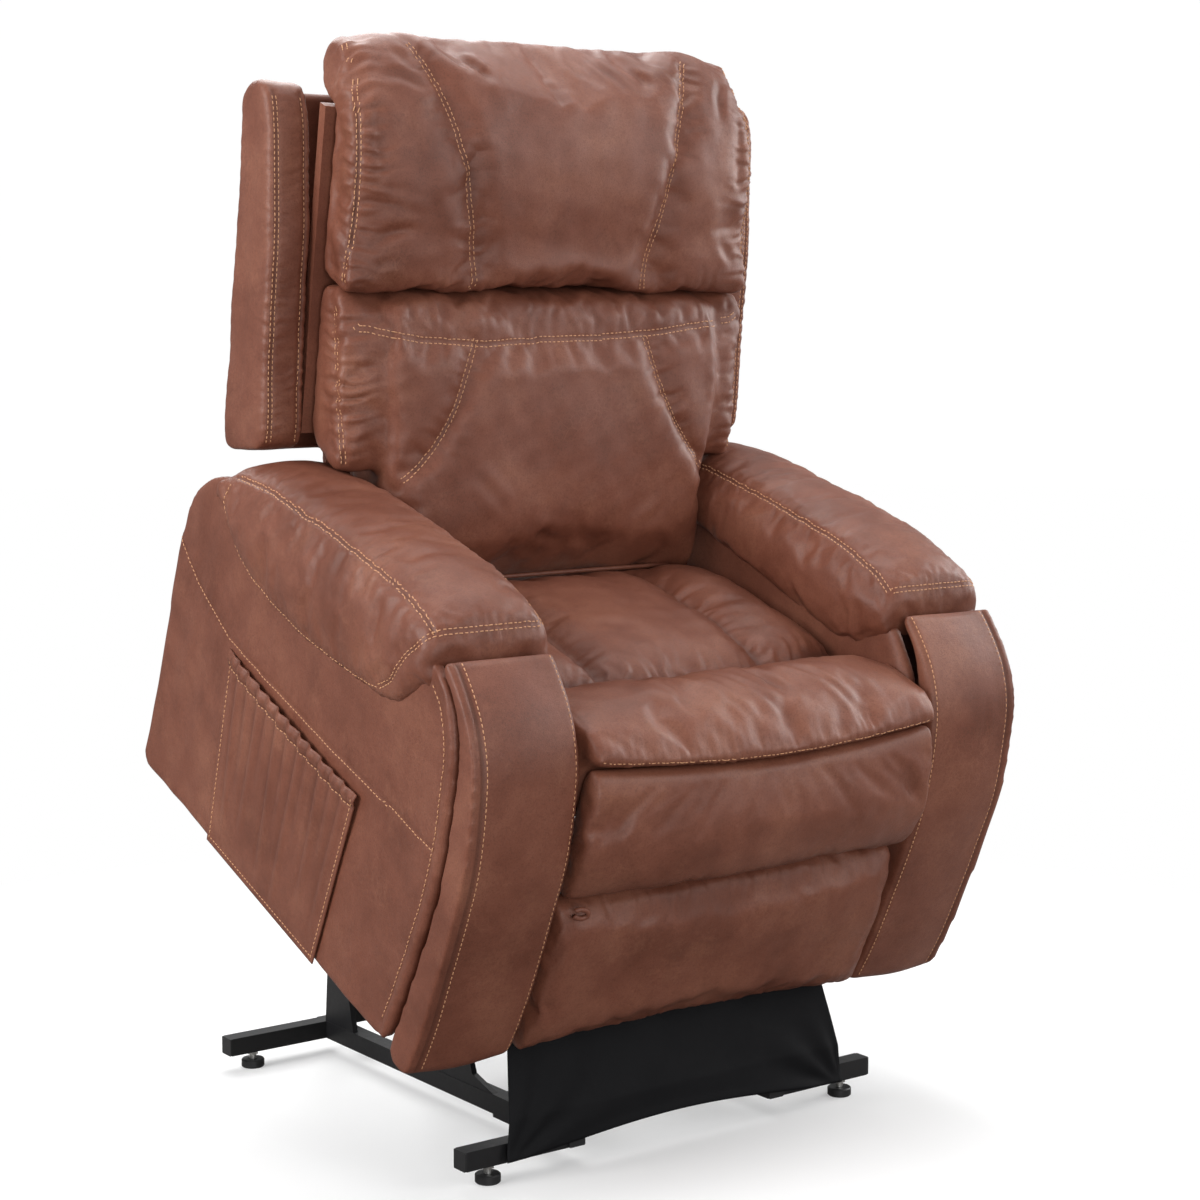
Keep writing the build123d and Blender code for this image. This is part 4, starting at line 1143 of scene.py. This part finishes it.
def rear_skin():
    body = fuse("back_rear_leather", slab("wide", rounded(SHELL_WIDE, 8, 6), -338, 338),
                slab("narrow", rounded(SHELL_NARROW, 6, 6), -249, 249))
    even_skin(body, 5, 3)
    shape = Shaper(body)
    x, _, z = shape.p.T
    rear = ease(shape.n[:, 1], 0.2, 0.8)
    shape.swell(rear * (5 * (1 - (x / 340) ** 2) * bump(z, 440, 990) + 1.4 * ripple(shape.p, 240, 71)))
    top = np.array([(xx, np.interp(900, [808, 939], [779, 813]), 900) for xx in range(-328, 329, 10)], float)
    shape.seam(top, 1.8, 3.4, 0.5)
    shape.pucker(top, 0.8, 24, 24, seed=72, dark=0.2)
    shape.done()
    sewing = Sewing(body).row(top + (0, 0, 4)).row(top - (0, 0, 4))
    fit_sewn(body, sewing, "back", "back_shell", fill=0.5)


rear_skin()

# %% [markdown]
# ## Side pocket
# A gathered pocket hangs on the sitter's right side. Elastic in its hem draws the leather in,
# so folds run down from the mouth and fade towards the sewn bottom.
# It is one sheet given a thickness, standing a little off the panel at its mouth.

# %% Side pocket
POCKET_LEATHER = 0.0018
POCKET = {"low_front": (186, 3), "low_rear": (486, 3), "top_front": (169, 265), "top_rear": (519, 280)}
FOLDS = ((0.06, 3.2, 0.012, 0.9), (0.14, 2.4, 0.010, 0.5), (0.22, 3.6, 0.014, 0.8),
         (0.31, 2.2, 0.010, 0.55), (0.38, 3.4, 0.013, 1.0), (0.47, 2.6, 0.011, 0.6),
         (0.55, 3.8, 0.015, 0.9), (0.63, 2.0, 0.010, 0.5), (0.71, 3.4, 0.013, 0.8),
         (0.80, 2.6, 0.011, 0.65), (0.88, 3.2, 0.012, 0.9), (0.95, 2.0, 0.010, 0.4))


def side_pocket():
    across, up = 150, 100
    u, v = np.meshgrid(np.linspace(0, 1, across), np.linspace(0, 1, up))
    low = (1 - u)[..., None] * POCKET["low_front"] + u[..., None] * POCKET["low_rear"]
    high = (1 - u)[..., None] * POCKET["top_front"] + u[..., None] * POCKET["top_rear"]
    yz = (1 - v)[..., None] * low + v[..., None] * high
    edge = ease(np.minimum(u, 1 - u), 0, 0.10) * ease(v, 0, 0.12)
    belly = np.sin(np.pi * np.clip(u, 0, 1)) ** 0.6 * (0.35 + 0.65 * v ** 1.3)
    out = 1.2 + 4.6 * belly * edge
    # Painted shade for the pocket: the valleys of its folds, the troughs of its ruffled hem and its sewn line are
    # darkened.
    crease = np.zeros_like(out)
    for k, (at, height, width, length) in enumerate(FOLDS):
        path = at + 0.02 * np.sin(3.1 * v + k * 1.7) * (1 - v) + 0.035 * (at - 0.5) * (1 - v)
        fade = np.clip((v - (1 - length)) / max(length, 0.1), 0, 1) ** 0.7
        ridge = np.exp(-((u - path) / (width * 1.6)) ** 2)
        valley = np.exp(-((u - path - 0.034) / (width * 1.1)) ** 2)
        out += edge * fade * height * (ridge - 0.55 * valley)
        crease = np.maximum(crease, 0.45 * fade * valley * edge)
    ruffle = np.sin(u * 190 + 2.0 * np.sin(u * 31)) * 0.5 + 0.35 * np.sin(u * 83 + 1)
    hem = np.exp(-((v - 0.965) / 0.024) ** 2)
    sewn = np.exp(-((v - 0.925) / 0.009) ** 2)
    out += (2.6 + 1.1 * ruffle) * hem - 1.2 * sewn
    crease = np.maximum(crease, 0.5 * hem * np.clip(-ruffle, 0, 1))
    crease = np.maximum(crease, 0.6 * sewn)
    verts = np.stack([-(ARM_OUT + 0.4 + out), yz[..., 0], yz[..., 1]], -1).reshape(-1, 3)
    body = mesh_object("side_pocket_leather", verts / 1000, grid_faces(across, up))
    # This crease value is painted shade, darkening the leather's colour in the pocket's valleys.
    store = body.data.attributes.new("crease", "FLOAT", "POINT")
    store.data.foreach_set("value", crease.ravel().astype(np.float32))
    wall = body.modifiers.new("thickness", "SOLIDIFY")
    wall.thickness, wall.offset = POCKET_LEATHER, -1.0
    bake(body)
    turn_out(body)
    sewing = Sewing(body)
    grid = verts.reshape(up, across, 3)
    at = lambda row: grid[int(row * (up - 1)), 4:-4] - (2, 0, 0)
    sewing.row(at(0.925)).row(grid[2:-3, 3] - (2, 0, 0)).row(grid[2:-3, -4] - (2, 0, 0)).row(grid[3, 4:-4] - (2, 0, 0))
    fit_sewn(body, sewing, "chair", "side_pocket", fill=0.2)


side_pocket()

# %% [markdown]
# ## Small leather work
# A short loop of leather at the end of the footrest's crease, and a thin welt where the seat
# meets the back.

# %% Loop and welt


def tube_along(name, line, radius, turns=10):
    """A round leather cord along a line."""
    line = np.array(line, float)
    tangent = np.gradient(line, axis=0)
    tangent /= np.linalg.norm(tangent, axis=1, keepdims=True)
    first = np.cross(tangent, (0.3, 0.2, 1.0))
    first /= np.linalg.norm(first, axis=1, keepdims=True)
    second = np.cross(tangent, first)
    angle = np.linspace(0, 2 * np.pi, turns, endpoint=False)
    rings = [c + radius * (np.cos(angle)[:, None] * a + np.sin(angle)[:, None] * b) for c, a,
             b in zip(line, first, second)]
    return loft(name, rings)


welt = tube_along("seat_welt_leather", [(x, 474 - 2 * (x / 260) ** 2, 382) for x in range(-258, 259, 12)],
                  3.2)
fit(welt, "chair", fill=0.9)
LOOP = [(-256 + 9 * math.cos(a), -74 - 3 * math.cos(a), 219 + 6.5 * math.sin(a))
        for a in np.linspace(-2.6, 2.6, 22)]
loop = tube_along("footrest_loop_leather", LOOP, 3.4)
fit(loop, "ottoman", fill=0.9)

# %% [markdown]
# ## Front skirt
# A black cloth hangs from under the chair to the front bar of the base and hides the lift.
# It is tacked at its lower corners, so folds fan out from them, and its hem lifts a little in
# the middle. It is a real sheet.

# %% Skirt
skirt_low, skirt_high = (np.array(c) * 1000 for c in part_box("front_skirt"))
BAR_FRONT = skirt_low[1] + 1.0


def skirt_depth(z):
    """How far back the hanging cloth is at a height above the floor."""
    return BAR_FRONT + np.interp(z, [0, 80, 170, 215, 240], [0, 0, 24.2, 28.7, 25.2])


def skirt():
    across, up = 150, 60
    u, v = np.meshgrid(np.linspace(-1, 1, across), np.linspace(0, 1, up))
    hem = 27 + 17 * np.cos(np.pi * u / 2) ** 1.5
    z = hem + v * (skirt_high[2] - hem)
    half = np.interp(z, [27, 80, 170, 240], [282, 276, 262, 262])
    x = u * half
    y = skirt_depth(z)
    fans = np.zeros_like(y)
    for s in (-1, 1):
        dx, dz = s * 282 - x, z - 20
        far, turn = np.hypot(dx, dz), np.arctan2(dz, s * dx)
        fans += 3.6 * np.cos(turn * 13 + s) * np.exp(-far / 190) * ease(far, 10, 70)
    drop = 2.6 * np.sin(u * 9.5 + 1.2 * np.sin(2.2 * u)) * ease(z, 60, 130) + 1.5 * np.sin(u * 23 + 1) * ease(z, 40, 120)
    y = y - 3.0 + fans + drop * 0.8 - 2.5 * np.exp(-((z - hem) / 9) ** 2)
    verts = np.stack([x, y, z], -1).reshape(-1, 3)
    cloth = mesh_object("front_skirt_cloth", verts / 1000, grid_faces(across, up))
    wall = cloth.modifiers.new("thickness", "SOLIDIFY")
    wall.thickness, wall.offset = 0.0008, 0.0
    bake(cloth)
    smooth(cloth)
    return cloth


def skirt_material():
    p = Paint("black_cloth", Roughness=0.75, Specular_IOR_Level=0.2)
    at = p.where()
    wave = lambda direction: p.node("ShaderNodeTexWave",
                                    {"wave_type": "BANDS", "bands_direction": direction}, Vector=at,
                                    Scale=190.0, Distortion=0.4)["Fac"]
    weave = wave("X") * wave("Z")
    p.set("Base Color", p.mix(p.noise(30.0) * 0.6 + weave * 0.4, (0.002, 0.002, 0.003),
                              (0.006, 0.006, 0.007)))
    p.set("Normal", p.bump(weave, 0.25, 0.0004))
    return p.material


cloth = skirt()
cloth.data.materials.append(skirt_material())
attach(cloth, "base")
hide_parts("front_skirt")
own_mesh(cloth)
print("skirt hangs from", round(skirt_high[2]), "mm")

# %% [markdown]
# ## Finishes of the hard parts
# The steel is powder coated: black, slightly rough, with a fine orange-peel bump.
# Caps and feet are moulded plastic, bolts are zinc plated, the motor's rod is polished, and
# the hidden frame is plywood. Each record slot gets one material.

# %% Hard finishes


def powder_coat():
    p = Paint("black_powder_coat", IOR=1.5)
    cloud = p.noise(14.0)
    p.set("Base Color", p.mix(cloud, (0.005, 0.005, 0.006), (0.010, 0.010, 0.011)))
    p.set("Roughness", p.noise(120.0) * 0.2 + 0.34)
    p.set("Normal", p.bump(p.noise(650.0, 2.0), 0.25, 0.0003))
    return p.material


def moulded(name, tone, rough):
    p = Paint(name)
    p.set("Base Color", p.mix(p.noise(40.0), tuple(c * 0.8 for c in tone), tuple(c * 1.2 for c in tone)))
    p.set("Roughness", p.noise(200.0) * 0.15 + rough)
    p.set("Normal", p.bump(p.noise(1100.0, 2.0), 0.2, 0.0002))
    return p.material


def metal(name, tone, rough):
    p = Paint(name, Metallic=1.0)
    p.set("Base Color", p.mix(p.noise(60.0), tuple(c * 0.85 for c in tone), tone))
    p.set("Roughness", p.noise(180.0) * 0.16 + rough)
    p.set("Normal", p.bump(p.noise(500.0, 3.0), 0.12, 0.0002))
    return p.material


def plywood():
    p = Paint("birch_plywood")
    at = p.where()
    rings = p.node("ShaderNodeTexWave", {"wave_type": "RINGS", "rings_direction": "Z"}, Vector=at,
                   Scale=3.0, Distortion=6.0, Detail=3.0)["Fac"]
    p.set("Base Color", p.mix(rings * 0.7 + p.noise(90.0) * 0.3, (0.42, 0.27, 0.14), (0.60, 0.43, 0.25)))
    p.set("Roughness", p.noise(70.0) * 0.2 + 0.5)
    p.set("Normal", p.bump(rings, 0.2, 0.0003))
    return p.material


FINISHES = {
    "black_steel": powder_coat(),
    "black_plastic": moulded("black_moulded_plastic", (0.013, 0.013, 0.014), 0.42),
    "motor_plastic": moulded("dark_motor_plastic", (0.028, 0.028, 0.030), 0.48),
    "bolt_steel": metal("zinc_plating", (0.62, 0.62, 0.60), 0.28),
    "rod_steel": metal("polished_rod", (0.72, 0.72, 0.72), 0.12),
    "frame_wood": plywood(),
    "skirt_cloth": cloth.data.materials[0],
    "upholstery": LEATHER,
}
COVERED = ("back_board", "headrest_plate")  # wood that the maker covers in leather
for row in frame["record"]["subparts"]:
    node = frame["nodes"][row["node"]]
    node.data.materials.clear()
    node.data.materials.append(LEATHER if row["node"] in COVERED else FINISHES[row["material_slot"]])
print(len(FINISHES), "finishes on", len(frame["nodes"]), "nodes")

# %% [markdown]
# ## Room, light and camera
# The chair stands in a white studio. The floor is pale and very large, so that its far edge
# melts into a white surround. Big soft lamps at the sides, above and in front give the leather wide
# gentle highlights and a soft shadow under the base.

# %% Floor and surround
FLOOR_HALF = 12.0
floor = mesh_object("studio_floor", [(-FLOOR_HALF, -FLOOR_HALF, 0), (FLOOR_HALF, -FLOOR_HALF, 0),
                                     (FLOOR_HALF, FLOOR_HALF, 0), (-FLOOR_HALF, FLOOR_HALF, 0)],
                    [(0, 1, 2, 3)])


def floor_finish():
    """Pale paint near the chair that turns into a white glow further out."""
    p = Paint("pale_floor", Roughness=0.7)
    p.set("Base Color", p.mix(p.noise(2.0), (0.90, 0.90, 0.90), (0.93, 0.93, 0.93)))
    far = p.node("ShaderNodeVectorMath", {"operation": "LENGTH"}, p.where())["Value"]
    glow = p.node("ShaderNodeEmission", {}, Color=(1, 1, 1, 1), Strength=1.0)["Emission"]
    share = p.ramp(far * 0.25, (0.10, 0.30), (0.42, 1.0))
    both_ways = p.node("ShaderNodeMixShader", {}, share, Wire(p, p.shader.outputs["BSDF"]), glow)["Shader"]
    p.feed(p.tree.nodes["Material Output"].inputs["Surface"], both_ways)
    return p.material


floor.data.materials.append(floor_finish())

scene = bpy.context.scene
dome_mesh = bpy.data.meshes.new("white_dome")
bm = bmesh.new()
bmesh.ops.create_icosphere(bm, subdivisions=4, radius=FLOOR_HALF * 0.98)
bm.to_mesh(dome_mesh)
bm.free()
dome = bpy.data.objects.new("white_dome", dome_mesh)
scene.collection.objects.link(dome)
dome_paint = Paint("white_glow", Emission_Color=(1, 1, 1, 1), Emission_Strength=1.0, Roughness=1.0)
dome_paint.set("Base Color", (0, 0, 0, 1))
dome_mesh.materials.append(dome_paint.material)
for ray in ("visible_diffuse", "visible_glossy", "visible_shadow", "visible_transmission"):
    setattr(dome, ray, False)

# A grey card just under the floor keeps its white from shining up on the leather.
card = mesh_object("grey_card", [(x, y, -0.004) for x, y in ((-3, -3), (3, -3), (3, 3), (-3, 3))],
                   [(0, 1, 2, 3)])
card_paint = Paint("card_grey", Roughness=0.9)
card_paint.set("Base Color", (0.50, 0.48, 0.46, 1))
card.data.materials.append(card_paint.material)
card.visible_camera = False
floor.visible_diffuse = False
floor.visible_glossy = False

world = bpy.data.worlds.new("white_surround")
world.use_nodes = True
world.node_tree.nodes["Background"].inputs["Color"].default_value = (1.0, 1.0, 1.0, 1)
world.node_tree.nodes["Background"].inputs["Strength"].default_value = 0.37
scene.world = world
scene.view_settings.view_transform = "Standard"
scene.view_settings.look = "None"

# %% Lamps


def soft_lamp(name, spot, aim, size, watts):
    data = bpy.data.lights.new(name, "AREA")
    data.shape, data.size, data.size_y = "RECTANGLE", *size
    data.energy = watts
    lamp = bpy.data.objects.new(name, data)
    scene.collection.objects.link(lamp)
    lamp.location = spot
    lamp.rotation_euler = (Vector(aim) - Vector(spot)).to_track_quat("-Z", "Y").to_euler()
    return lamp


MIDDLE = (0, 0, 0.7)
soft_lamp("overhead", (0.2, 0.3, 3.2), (0, 0, 0.4), (2.4, 2.4), 55)
soft_lamp("over_back", (0.5, 2.2, 3.0), MIDDLE, (2.2, 1.6), 60)
soft_lamp("left_side", (-3.4, 0.2, 2.0), MIDDLE, (1.6, 2.2), 118)
soft_lamp("right_side", (3.4, -0.4, 2.0), MIDDLE, (1.6, 2.2), 84)
soft_lamp("front_right", (2.2, -3.2, 2.0), MIDDLE, (1.6, 2.2), 48)
soft_lamp("front_low", (-1.6, -3.8, 0.9), (0, -0.2, 0.5), (2.0, 1.4), 60)

# %% Camera
camera_data = bpy.data.cameras.new("camera")
camera_data.sensor_width = 36.0
camera_data.lens = 76.38  # mm
camera = bpy.data.objects.new("camera", camera_data)
scene.collection.objects.link(camera)
camera.location = (-2.0358, -2.7991, 1.1124)
camera.rotation_euler = (math.radians(90 - 6.832), 0, math.radians(-36.614))
scene.camera = camera
